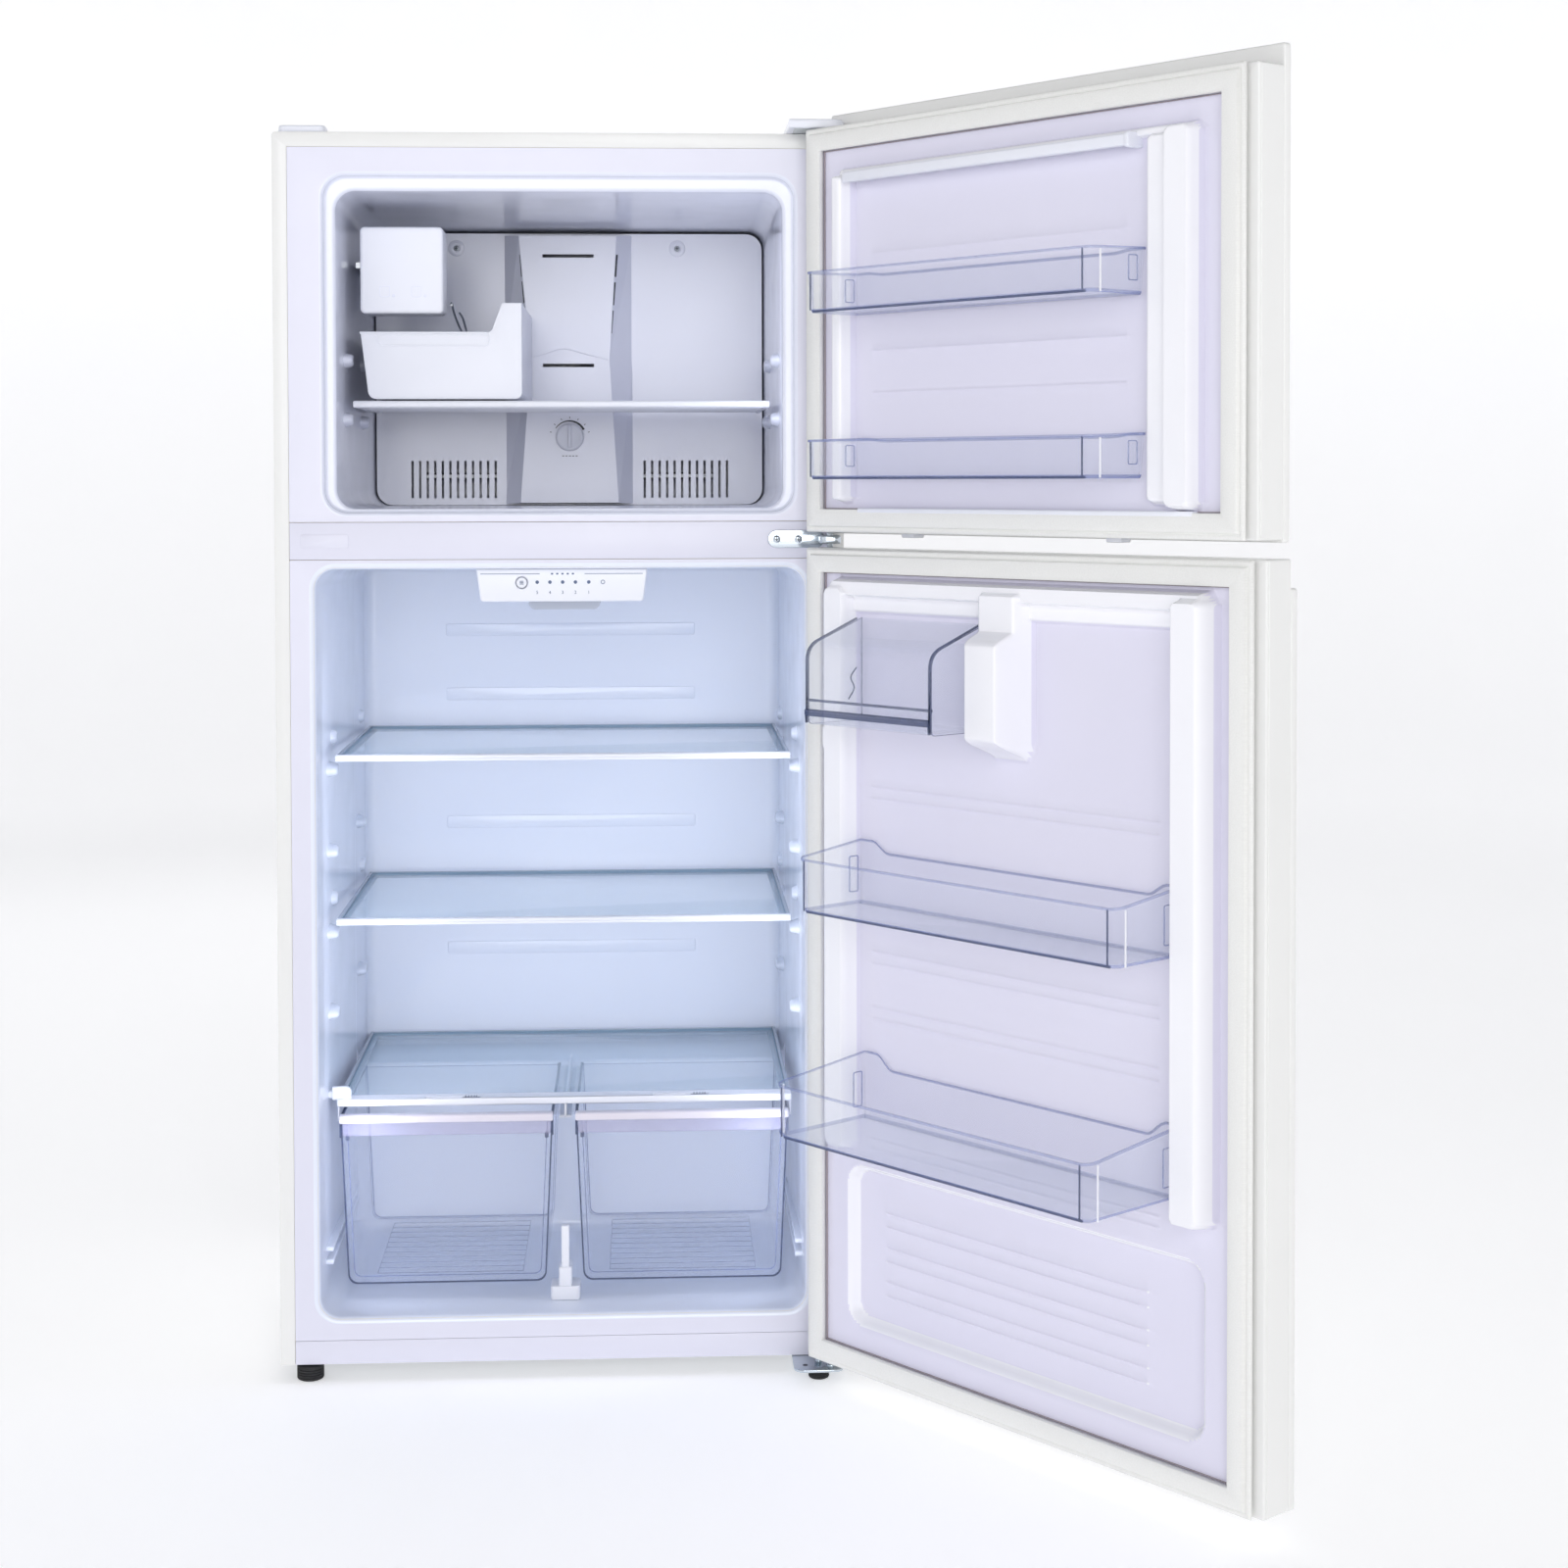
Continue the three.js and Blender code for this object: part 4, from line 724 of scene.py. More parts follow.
@dataclass
class Hinges:
    """The three hinge plates with their pins and screws, and the levelling feet."""

    x: float = 356.6
    y: float = -38.5
    pin: float = 4.0
    case_top: float = 1664.0

    def build(self, place: Place) -> None:
        """Makes every hinge and foot."""
        self._top(place)
        self._centre(place)
        self._bottom(place)
        for side, body in (("left", (-340, 14, 18.0, 20.0)), ("right", (341, -22, 14.0, 16.0))):
            self._foot(side, body, place)

    def _outline(self, left: float, back: float, radius: float) -> np.ndarray:
        """The top hinge's outline, round about the pin."""
        arc = [math.radians(a) for a in range(-90, 91, 15)]
        nose = [(self.x + radius * math.cos(a), self.y + radius * math.sin(a)) for a in arc]
        return np.array([(left, self.y - radius), *nose, (self.x, back), (left, back)])

    def _top(self, place: Place) -> None:
        """The top hinge's steel plate under its moulded cover."""
        dress("top_hinge", CHROME)
        z = self.case_top + 0.3
        cover = slab("z", self._outline(302, 76, 19.5), (z, z + 12), 3.0, 4)
        add_piece("top_hinge_cap", cover, place, ABS, ["top_hinge_cover"])

    def _centre(self, place: Place) -> None:
        """The plate between the doors, its two screws and the arm that carries the pins."""
        plate = slab("y", rounded_loop((276, 352), (1112.6, 1136.4), 11.8, 8), (-3.2, -0.3), 0.9, 3)
        arm = slab("z", rounded_loop((343, 371), (-52, -0.8), 9, 6), (1119, 1130), 2.0, 3)
        pin = turned("z", (self.x, self.y, 1103.5), [(0, 3.2), (1.5, self.pin), (40.5, self.pin), (42, 3.2)])
        add_piece("centre_hinge_plate", joined([plate, arm, pin]), place, CHROME, ["center_hinge"])
        heads = [screw("y", (x, -3.1, 1124.5), 5.2, -2.2) for x in (288, 317)]
        add_piece("centre_hinge_screws", joined(heads), place, [CHROME, DARK_INK_AND_SHADE])

    def _bottom(self, place: Place) -> None:
        """The plate under the lower door, its pin and the painted shade of its two screw holes."""
        # dark plugs in the plate's two holes: painted shade inside them
        holes = [turned("z", (x, y, 17.2), [(0, 3.4), (4.8, 3.4)], 16) for x, y in ((322, -38), (322, 30))]
        plate = slab("z", rounded_loop((306, 373), (-58, 60), 14, 6), (17.5, 21.7), 1.3, 3)
        pin = turned("z", (self.x, self.y, 21),
                     [(0, 6.5), (2, 6.5), (2.4, self.pin), (29.5, self.pin), (31, 3.0)])
        add_piece("bottom_hinge_plate", joined([plate, pin]), place, CHROME, ["bottom_hinge"])
        add_piece("bottom_hinge_hole_shade", joined(holes), place, DARK_INK_AND_SHADE)

    def _foot(self, side: str, sizes: tuple[float, float, float, float], place: Place) -> None:
        """A levelling foot: a ribbed rubber pad under a threaded stud."""
        x, y, radius, pad = sizes
        profile = [(0, radius - 2.5), (1.0, radius - 0.8), (2.4, radius)]
        for turn in range(4):
            z = 3.6 + turn * (pad - 6) / 4
            profile += [(z, radius), (z + 0.7, radius - 1.0), (z + 1.7, radius - 1.0), (z + 2.4, radius)]
        profile += [(pad - 2, radius), (pad - 0.6, radius - 0.7), (pad, radius - 2.2)]
        stud = [(pad - 0.5, 5.0)]
        top = 46.0 if side == "left" else 34.0
        thread = [(pad + 0.6 * i, 5.0 if i % 2 else 4.4) for i in range(1, int((top - pad) / 0.6))]
        body = f"front_foot_{side}"
        add_piece(f"foot_pad_{side}", turned("z", (x, y, 0), profile, 36), place.on(body), RUBBER, [body])
        add_piece(f"foot_stud_{side}", turned("z", (x, y, 0), stud + thread, 20), place.on(body), CHROME)


@dataclass
class MachineSpace:
    """What stands behind the lower back cover: these solids keep their shape and get their finish."""

    finishes: tuple[tuple[str, Finish], ...] = (
        ("compressor", BLACK_ENAMEL), ("condenser_coil", COPPER), ("condenser_fan", POLYPROPYLENE),
        ("drain_pan", POLYPROPYLENE), ("cord_gland", POLYPROPYLENE), ("water_valve", ABS),
        ("rear_roller_left", POLYPROPYLENE), ("rear_roller_right", POLYPROPYLENE),
        ("evaporator_coil", ALUMINIUM), ("evaporator_fan", ABS))

    def build(self, place: Place) -> None:
        """Dresses the machine space and adds the weld seam of the compressor's two shells."""
        for node, finish in self.finishes:
            dress(node, finish)
        seam = turned("z", (-170, 520, 112), [(0, 84), (1.5, 92), (5.5, 92), (7, 84)], 40)
        add_piece("compressor_seam", seam, place, BLACK_ENAMEL)
        clips = [screw("y", (x, 629.1, z), 3.4, 1.6) for x, z in ((-313, 273), (-281, 273))]
        add_piece("gland_screws", joined(clips), place, [ZINC, DARK_INK_AND_SHADE])


# ---------------------------------------------------------------- compartments
@dataclass(frozen=True)
class Section:
    """A compartment's cross-section at one depth."""

    y: float
    half: float
    low: float
    high: float
    radius: float

    def ring(self, by: float = 0.0, y: float | None = None) -> np.ndarray:
        """The section's outline, moved out by a distance, at its own or another depth."""
        loop = rounded_loop(even(self.half + by), (self.low - by, self.high + by),
                            max(self.radius + by, 1.0), 9)
        return set_at("y", loop, self.y if y is None else y)

    def towards(self, other: "Section", share: float) -> "Section":
        """The section part of the way to another one."""
        mix = lambda a, b: a + (b - a) * share
        return Section(*(mix(a, b) for a, b in zip(
            (self.y, self.half, self.low, self.high, self.radius),
            (other.y, other.half, other.low, other.high, other.radius))))


def folded_in(mouth: Section, radius: float) -> list[np.ndarray]:
    """The rings of a rounded lip that turns from a flat face into a compartment."""
    return [mouth.ring(d, mouth.y + radius - t) for d, t in
            [(radius * (1 - math.cos(a)), radius * math.sin(a)) for a in
             [math.radians(90 - 90 * k / 5) for k in range(6)]]]


def rounded_back(back: Section, radius: float) -> list[np.ndarray]:
    """The rings of a rounded inner corner between the walls and the back."""
    angles = [math.radians(90 * k / 6) for k in range(7)]
    return [back.ring(-radius * (1 - math.cos(a)), back.y - radius + radius * math.sin(a)) for a in angles]


def liner_form(face: np.ndarray, inner: Sequence[np.ndarray], outer: Sequence[np.ndarray]) -> Form:
    """A liner: the face plate, the inner skin to the back, and the outer skin behind it.

    Args:
        face: the outer edge of the face plate.
        inner: rings from the mouth to the back.
        outer: rings of the outer skin from the mouth to the back.

    Returns:
        The closed form.
    """
    behind = face + np.array([0.0, PLASTIC, 0.0])
    marks = [0] * (len(inner) - 1) + [1, 1, 1] + [0] * (len(outer) + 1)
    return skin([*reversed(inner), face, behind, *outer], marks=marks)


def leaf_support(side: int, wall: float, y: float, z: float, reach: float, length: float = 44.0) -> Form:
    """A formed shelf support: a drop-shaped boss on a side wall, narrow towards the front."""
    rings = []
    for depth, share in ((-4.0, 1.25), (0.0, 1.08), (0.35, 0.98), (0.75, 0.85), (0.95, 0.65), (1.0, 0.4)):
        points = []
        for k in range(20):
            angle = 2 * math.pi * k / 20
            swell = 0.62 + 0.38 * math.cos(angle)
            points.append((y + share * length / 2 * math.cos(angle),
                           z + share * 11 * math.sin(angle) * (0.55 + swell / 2)))
        at = wall - (depth * reach if depth > 0 else depth)
        rings.append(set_at("x", np.array(points), side * at))
    return skin(rings)


@dataclass
class FreezerSpace:
    """The freezer compartment with its evaporator cover, ice maker, bin and shelf."""

    mouth: Section = Section(19.0, 297, 1166, 1588, 26)
    rim: Section = Section(0.2, 311.7, 1161, 1607, 30)
    back: Section = Section(560.0, 291, 1166, 1576, 24)
    cover_face: float = 458.0
    tower_face: float = 425.0
    knob: Point = (0.5, 424.6, 1268.0)

    def build(self, place: Place) -> None:
        """Makes every piece of the freezer compartment."""
        self._liner(place)
        self._cover(place)
        self._dial(place)
        self._ice_maker(place)
        self._ice_bin(place.on("ice_bin"))
        self._shelf(place.on("freezer_shelf"))

    def _liner(self, place: Place) -> None:
        """The formed liner: a stepped rim, tapering walls and the shelf supports."""
        rim_floor = Section(14.0, 311.7, 1161, 1607, 30)
        inner = (folded_in(self.rim, 5.0) + rounded_back(rim_floor, 4.0)
                 + folded_in(replace(self.mouth, y=14.0), 5.0))
        inner += ([self.mouth.towards(self.back, t).ring() for t in (0.15, 0.5, 0.85)]
                  + rounded_back(self.back, 16))
        outer = [self.rim.ring(7.0, 2.2), self.rim.ring(2.0, 6.0), self.rim.ring(2.0, 16.0),
                 self.mouth.ring(2.2, 16.2),
                 self.back.ring(2.0, 550.0), self.back.ring(-12, 562.0)]
        face = set_at("y", rounded_loop(even(358.1), (1148.7, 1644.1), 1.0, 9), 0.2)
        supports = [leaf_support(side, 296, y, z, reach) for side in (-1, 1)
                    for y, z, reach in ((112, 1287, 11), (300, 1287, 13), (115, 1368, 11), (300, 1368, 11))]
        add_piece("freezer_liner_skin", liner_form(face, inner, outer), place, [FREEZER_LINER, CLAMPED_RIM],
                  ["freezer_liner"])
        add_piece("freezer_shelf_supports", joined(supports), place, FREEZER_LINER)

    def _cover(self, place: Place) -> None:
        """The evaporator cover's own solid, with its screws, the painted shade of its air slots and a raised
        chevron.
        """
        dress("evaporator_cover", COVER_SHEET)
        face = self.cover_face
        bosses = [turned("y", (x, face + 0.4, 1552),
                         [(0, 12.5), (-1.2, 11.8), (-1.6, 10.6), (-1.6, 6.5), (0, 5.2)])
                  for x in (-169, 162)]
        add_piece("cover_bosses", joined(bosses), place, COVER_SHEET)
        heads = [screw("y", (x, face + 0.2, 1552), 4.4, -1.8) for x in (-169, 162)]
        add_piece("cover_screws", joined(heads), place, [ZINC, DARK_INK_AND_SHADE])
        chevron = [(-60, 1385.4), (-8, 1399.8), (57.5, 1383.4)]
        groove = wire_form([(x, self.tower_face - 0.1, z) for x, z in
                            (chevron[0], (-34, 1392.6), chevron[1], (24.8, 1391.6), chevron[2])], 0.7, 8, 4)
        add_piece("tower_crease", groove, place, COVER_SHEET)
        # dark strips that stand for the shade in the air slots
        slots = [self._slot_shade(side, low, high) for side, low, high in
                 ((-1, 1507, 1540), (-1, 1468, 1500), (1, 1507, 1540), (1, 1465, 1499), (1, 1423, 1457))]
        add_piece("tower_slot_shade", joined(slots), place, DARK_INK_AND_SHADE)

    def _slot_shade(self, side: int, low: float, high: float) -> Form:
        """A narrow dark strip along the tower's slanting edge, between two heights: painted shade for an air
        slot.
        """
        lean = lambda z: side * (58.5 + (z - 1383) * (14.5 / 185)) + (1.0 if side > 0 else -1.2)
        outline = np.array([(lean(low) - 1.4, low), (lean(low) + 1.4, low), (lean(high) + 1.4, high),
                            (lean(high) - 1.4, high)])
        y = self.tower_face
        return slab("y", outline, (y + 1.1, y + 3.0), 0.2, 1)

    def _dial(self, place: Place) -> None:
        """The temperature knob with its printed arc and its tick marks."""
        x, y, z = self.knob
        disc = turned("y", (x, y, z), [(0, 21), (-7.2, 20.6), (-8.8, 20.2), (-9.9, 19.0), (-10.3, 17.2),
                                       (-10.0, 16.2), (-10.0, 0.0)], 56)
        grip = slab("y", rounded_loop((x - 2.6, x + 2.6), (z - 16, z + 18), 2.4, 4), (y - 13.8, y - 9.8),
                    1.4, 3)
        add_piece("dial_knob", joined([disc, grip]), place.on("temperature_knob"), ABS, ["temperature_knob"])
        arc = [math.radians(a) for a in range(28, 153, 5)]
        outer = [(x + 25.2 * math.cos(a), z + 25.2 * math.sin(a)) for a in arc]
        thin = [(x + (25.2 - 0.8 - 2.6 * (1 - i / len(arc))) * math.cos(a),
                 z + (25.2 - 0.8 - 2.6 * (1 - i / len(arc))) * math.sin(a)) for i, a in enumerate(arc)]
        band = slab("y", np.array(outer + thin[::-1]), (y - 0.25, y + 0.6), 0.1, 1)
        ticks = []
        for degrees in range(15, 166, 25):
            a = math.radians(degrees)
            ticks.append(box_form(even(0.45), (y - 0.25, y + 0.6), (28.0, 30.6), 0.1))
            ticks[-1] = turn_about_y(ticks[-1], math.pi / 2 - a).moved(x=x, z=z)
        base = [box_form((x + d - 1.6, x + d + 1.6), (y - 0.25, y + 0.6), (z - 28.6, z - 27.6), 0.1)
                for d in (-10, -5, 0, 5, 10)]
        add_piece("dial_marks", joined([band, *ticks, *base]), place, DARK_INK_AND_SHADE)

    def _ice_maker(self, place: Place) -> None:
        """The ice maker's hood, its mould and the wire that feels how full the bin is."""
        dress("ice_mould", ALUMINIUM)
        x, z, front = (-275.0, -162.0), (1432.0, 1550.0), 110.0
        outline = rounded_loop(x, z, 6.5, 6)
        shell = skin([*[set_at("y", inset(outline, d), front + t) for d, t in rounding(4.0, 4)],
                      set_at("y", outline, front + 61.5), set_at("y", inset(outline, 0.5), front + 62),
                      set_at("y", inset(outline, 2.5), front + 62),
                      set_at("y", inset(outline, 2.5), front + 2.6)])
        add_piece("ice_maker_hood", shell, place, ABS, ["ice_maker_housing"])
        marks = [self._cup_mark(-240.5, 1461, front), self._cup_mark(-197.5, 1461, front)]
        add_piece("ice_maker_marks", joined(marks), place, FREEZER_LINER)
        drive = slab("y", rounded_loop((-268, -170), (1436, 1545), 4, 3), (front + 28, front + 60), 1.5)
        add_piece("ice_maker_drive", drive, place, POLYPROPYLENE)
        path = [(-154, 150, 1446), (-155, 172, 1449), (-152, 200, 1432), (-146, 240, 1414), (-145, 290, 1412),
                (-146, 340, 1418), (-153, 366, 1440), (-159, 380, 1450)]
        add_piece("feeler_wire", wire_form(path, 1.6, 12, 6), place.on("feeler_arm"), WIRE, ["feeler_arm"])

    def _cup_mark(self, x: float, z: float, y: float) -> Form:
        """A generic embossed tumbler outline with a round drop beside it."""
        cup = rounded_loop((x - 8, x + 6), (z - 7, z + 8), [3.5, 0.8, 0.8, 3.5], 3)
        ring = slab("y", cup, (y - 0.25, y + 0.5), 0.12, 1, holes=[inset(cup, 0.8)])
        drop = turned("y", (x + 11, y, z - 5), [(0.5, 2.2), (-0.15, 2.2), (-0.25, 2.0), (-0.25, 0)], 16)
        return joined([ring, drop])

    def _ice_bin(self, place: Place) -> None:
        """The ice bin: one wall drawn round a low side and a tall side, with a grip in front."""
        x, y, low, rim, tall = (-274.0, -55.0), (101.0, 420.0), 1314.6, 1406.0, 1446.0
        wall = 2.5
        floor = [(x[0], rim), (x[0] + 9.5, low + 13)] \
            + arc_points((x[0] + 21.5, low + 12.0), 12.0, 187, 270, 5) \
            + arc_points((x[1] - 9, low + 9.0), 9.0, 270, 360, 5) + [(x[1], tall)]
        tongue = [(x[1], tall)] + arc_points((x[1] - 24, tall - 4), 4.0, 90, 150, 4) \
            + [(x[1] - 39, rim + 8)] + arc_points((x[1] - 47.2, rim + 8.6), 8.6, -10, -90, 4)
        face = np.array([*floor[:-1], *tongue, ])
        band = np.array(floor + [(px, pz) for px, pz in reversed(offset_path(floor, wall))])
        front = slab("y", face, (y[0], y[0] + wall), 1.1, 3)
        back = slab("y", face, (y[1] - wall, y[1]), 0.8, 2)
        channel = slab("y", band, (y[0] + 1.2, y[1] - 1.2), 0.6, 1)
        grip = rounded_loop((-251, -98), (1386.5, 1403.5), [7, 2, 2, 7], 5)
        ledge = slab("y", grip, (y[0] - 0.9, y[0] + 0.8), 0.8, 3, holes=[inset(grip, 2.2)])
        lip = slab("y", rounded_loop((x[0] - 1.2, x[1] - 46), (rim - 2.6, rim + 0.6), 1.4, 3),
                   (y[0] - 1.4, y[0] + 3.2), 1.2, 3)
        add_piece("ice_bin_shell", joined([front, back, channel, ledge, lip]), place, ABS, ["ice_bin"])

    def _shelf(self, place: Place) -> None:
        """The freezer shelf: a moulded plate with a rounded front bar and side lips."""
        nose = slab("x", rounded_loop((91.5, 102), (1302.8, 1312.2), 3.4, 5), even(283.5), 1.2, 3)
        plate = slab("z", rounded_loop(even(283), (96, 415), 3, 3), (1306, 1311), 0.8)
        lips = [box_form((side * 280.2 - 3.2, side * 280.2 + 3.2), (96, 415), (1303, 1311.6), 1.0)
                for side in (-1, 1)]
        ribs = [box_form(even(276), (y - 1.2, y + 1.2), (1303.6, 1307), 0.5) for y in range(140, 400, 40)]
        add_piece("freezer_shelf_plate", joined([nose, plate, *lips, *ribs]), place, ABS, ["freezer_shelf"])


def arc_points(centre: tuple[float, float], radius: float, start: float, end: float, steps: int) -> list:
    """Points along an arc between two angles in degrees."""
    angles = [math.radians(start + (end - start) * k / steps) for k in range(steps + 1)]
    return [(centre[0] + radius * math.cos(a), centre[1] + radius * math.sin(a)) for a in angles]


def offset_path(path: Sequence[tuple[float, float]], by: float) -> list:
    """An open path moved to its left by a distance."""
    points = np.array(path, float)
    along = np.gradient(points, axis=0)
    along /= np.linalg.norm(along, axis=1, keepdims=True)
    return [tuple(p) for p in points + by * np.stack([-along[:, 1], along[:, 0]], axis=1)]


def turn_about_y(form: Form, angle: float) -> Form:
    """The same form turned about the Y axis through the origin, from Z towards X."""
    c, s = math.cos(angle), math.sin(angle)
    x, y, z = form.points.T
    return Form(np.stack([x * c + z * s, y, z * c - x * s], axis=1), form.faces, form.marks)


@dataclass
class FridgeSpace:
    """The fridge compartment with its control panel, glass shelves and crisper."""

    mouth: Section = Section(0.2, 324.7, 84.4, 1085.7, 26)
    back: Section = Section(530.0, 317, 338, 1078, 24)
    step_front: float = 396.0
    shelf_half: float = 310.7
    shelf_front: float = 85.0
    shelf_back: float = 520.8
    levels: tuple[float, float] = (602.3, 826.7)
    spare_levels: tuple[float, float] = (492.0, 714.0)
    cover_z: float = 355.8

    def build(self, place: Place) -> None:
        """Makes every piece of the fridge compartment."""
        self._liner(place)
        self._panel(place)
        for name, z in zip(("lower", "upper"), self.levels):
            self._shelf(name, z, place.on(f"{name}_shelf"))
        self._crisper_cover(place)
        self._post(place)

    def _liner(self, place: Place) -> None:
        """The formed liner with its step over the machine space, supports and back ribs."""
        at_step = replace(self.mouth.towards(self.back, self.step_front / 530), low=84.4)
        inner = folded_in(self.mouth, 8.0) + [self.mouth.towards(at_step, t).ring() for t in (0.3, 0.65)]
        for y, low in ((380, 84.4), (389, 86.2), (394.5, 91), (396, 98), (396, 333), (396.4, 335),
                       (397.5, 336.6),
                       (399, 337.6), (401, 338)):
            inner.append(replace(at_step, y=y, low=low).ring())
        inner += rounded_back(self.back, 16)
        outer = [self.mouth.ring(10.0, 2.2), self.mouth.ring(2.0, 10.0),
                 replace(at_step, y=398.3, low=84.4).ring(2.0),
                 replace(at_step, y=398.6, low=336.0).ring(2.0), self.back.ring(2.0, 520.0),
                 self.back.ring(-12, 532.0)]
        face = set_at("y", rounded_loop(even(358.1), (54.4, 1098.1), 1.0, 9), 0.2)
        add_piece("fridge_liner_skin", liner_form(face, inner, outer), place, [CABINET_LINER, CLAMPED_RIM],
                  ["fridge_liner"])
        supports = [leaf_support(side, 322 if y < 200 else 318.5, y, z - 20, 12) for side in (-1, 1)
                    for z in (*self.levels, *self.spare_levels) for y in (118, 430)]
        supports += [leaf_support(side, 322 if y < 200 else 318.5, y, z + 22, 7, 30) for side in (-1, 1)
                     for z in self.levels for y in (150, 462)]
        guides = [slab("x", rounded_loop((60, 380), (z, z + 7), 3.4, 4), span, 1.6, 3) for z in (138, 156)
                  for span in ((-325.0, -314.0), (314.0, 325.0))]
        add_piece("fridge_wall_supports", joined(supports + guides), place, CABINET_LINER)
        ribs = [rounded_slab("y", (-193, 188), (z, z + 19), (528.9, 532), 3, 1.1, 3)
                for z in (965, 866.5, 669.5, 475)]
        add_piece("fridge_back_ribs", joined(ribs), place, CABINET_LINER)

    def _panel(self, place: Place) -> None:
        """The control panel, the lamp's diffuser and the printed scale."""
        dress("lamp_lens", DIFFUSER)
        front = np.array([(115.2, 1085), (-113.8, 1085)] + arc_points((-103.4, 1046), 5, 188, 270, 4)
                         + arc_points((105.2, 1046), 5, 270, 352, 4))
        well = rounded_loop((-61, -45), (1058.5, 1074.5), 8.0, 8)
        face = slab("y", front, (22, 32), 2.2, 4, holes=[well], flat=0.6)
        rings = [set_at("y", inset(front, 0.3), 31.4), set_at("y", front - np.array([0, 4.5]), 169.0),
                 set_at("y", inset(front, 1.0) - np.array([0, 4.5]), 170.0)]
        add_piece("control_panel_body", joined([face, skin(rings)]), place, ABS, ["control_panel"])
        y = (21.75, 22.6)
        rules = [box_form(x, y, (1077.9, 1078.7), 0.1) for x in ((-108, -29), (31, 109))]
        middle = [box_form((x, x + 3.0), y, (1077.2, 1079.4), 0.3) for x in (-14, -7, 0, 7, 14)]
        add_piece("panel_rules", joined(rules + middle), place, INK)
        dots = [slab("y", rounded_loop((x - 2.4, x + 2.4), (1064.7, 1069.5), 2.4, 5), y, 0.1, 1)
                for x in (-32.3, -15.3, 1.7, 18.8, 36.6)]
        ring = rounded_loop((52.6, 58.4), (1064.2, 1070), 2.9, 5)
        dots.append(slab("y", ring, y, 0.1, 1, holes=[inset(ring, 0.9)]))
        digits = [numeral(str(5 - i), 6.0).moved(x, y[0], 1051.4)
                  for i, x in enumerate((-32.3, -15.3, 1.7, 18.8, 36.6))]
        add_piece("panel_scale", joined(dots + digits), place, INK)
        button = turned("y", (-53, 20.5, 1066.5),
                        [(1.0, 0), (0.4, 2.0), (0, 5.6), (0.5, 6.7), (1.2, 7.0), (7.5, 7.0)], 36)
        pressed = place.on("set_button")
        add_piece("panel_button", button, pressed, ABS, ["set_button"])
        collar = rounded_loop((-59.2, -46.8), (1060.3, 1072.7), 6.2, 8)
        bars = [box_form((-55.6, -50.4), (20.35, 21.4), (z, z + 0.8), 0.1) for z in (1064.2, 1066.1, 1068.0)]
        print_ring = slab("y", collar, (20.9, 21.6), 0.1, 1, holes=[inset(collar, 0.9)])
        add_piece("panel_button_mark", joined([print_ring, *bars]), pressed, INK)

    def _frame(self, z: float, front: float, lift: float, drop: float) -> list[Form]:
        """The side and back rails that carry a glass pane.

        Args:
            z: the pane's level.
            front: where the rails start.
            lift: how far they stand above the level.
            drop: how far they reach below it.

        Returns:
            The rails.
        """
        half, back = self.shelf_half, self.shelf_back
        rails = []
        for side in (-1, 1):
            x = sorted((side * half, side * (half - 13)))
            rails.append(box_form((x[0], x[1]), (front, back), (z - drop, z - 3.2), 0.9))
            x = sorted((side * half, side * (half - 5)))
            rails.append(box_form((x[0], x[1]), (front, back), (z - 4, z + lift), 0.9))
        rails.append(box_form(even(half), (back - 13, back), (z - drop, z - 3.2), 0.9))
        rails.append(box_form(even(half), (back - 5, back), (z - 4, z + lift), 0.9))
        return rails

    def _shelf(self, name: str, z: float, place: Place) -> None:
        """One shelf: the glass pane, its white front trim and its clear rails."""
        half, front, back = self.shelf_half, self.shelf_front, self.shelf_back
        nose = slab("x", rounded_loop((front, front + 13), (z - 2.6, z + 3), 2.7, 6), even(half), 1.6, 3)
        lower = slab("x", rounded_loop((front + 3, front + 18), (z - 6, z - 2.4), 1.2, 3), even(half), 0.8)
        add_piece(f"{name}_shelf_trim", joined([nose, lower]), place, ABS, [f"{name}_shelf_frame"])
        add_piece(f"{name}_shelf_rails", joined(self._frame(z, front + 8, 2, 6)), place, RAIL)
        pane = slab("z", rounded_loop(even(half - 5.4), (front + 10, back - 5.4), 2, 3),
                    (z - 2.8, z + 1.2), 0.6, 2, rim=1)
        add_piece(f"{name}_shelf_pane", pane, place, [SHELF_GLASS, GLASS_EDGE], [f"{name}_shelf_glass"])

    def _crisper_cover(self, place: Place) -> None:
        """The crisper's glass cover, its slotted front, the drawer rails and the humidity sliders."""
        z, half, front, back = self.cover_z, self.shelf_half, self.shelf_front, self.shelf_back
        slots = [rounded_loop((a, b), (front - 2.2, front + 8.2), 1.2, 3)
                 for a, b in ((-191, -115), (121, 197))]
        outline = rounded_loop(even(half), (front - 5, front + 24), 2.5, 4)
        nose = slab("z", outline, (z - 7, z + 3), 2.2, 4, holes=slots)
        floor = box_form(even(half - 4), (front - 3, front + 10), (z - 6.6, z - 2.4), 0.5)
        spans = [(-half, -half + 2.2), (half - 2.2, half), (-1.6, 1.6)]
        rails = [box_form(x, (front + 6, 384), (327, z - 6), 0.5) for x in spans]
        ledges = [box_form(x, (front + 6, 384), (327, 330), 0.6)
                  for x in ((-half, -half + 4.5), (half - 4.5, half), (-8, 8))]
        clip = [slab("y", rounded_loop((-318, -292), (z + 1, z + 19), [2, 7, 2, 2], 4),
                     (front + 2, front + 10), 1.4, 3),
                slab("y", rounded_loop((-324, -300), (z + 3, z + 12), 3, 4), (front + 6, front + 20), 1.4, 3)]
        add_piece("crisper_cover_trim", joined([nose, floor, *rails, *ledges, *clip]), place, ABS,
                  ["crisper_cover_frame"])
        add_piece("crisper_cover_rails", joined(self._frame(z, front + 22, 2, 8)), place, RAIL)
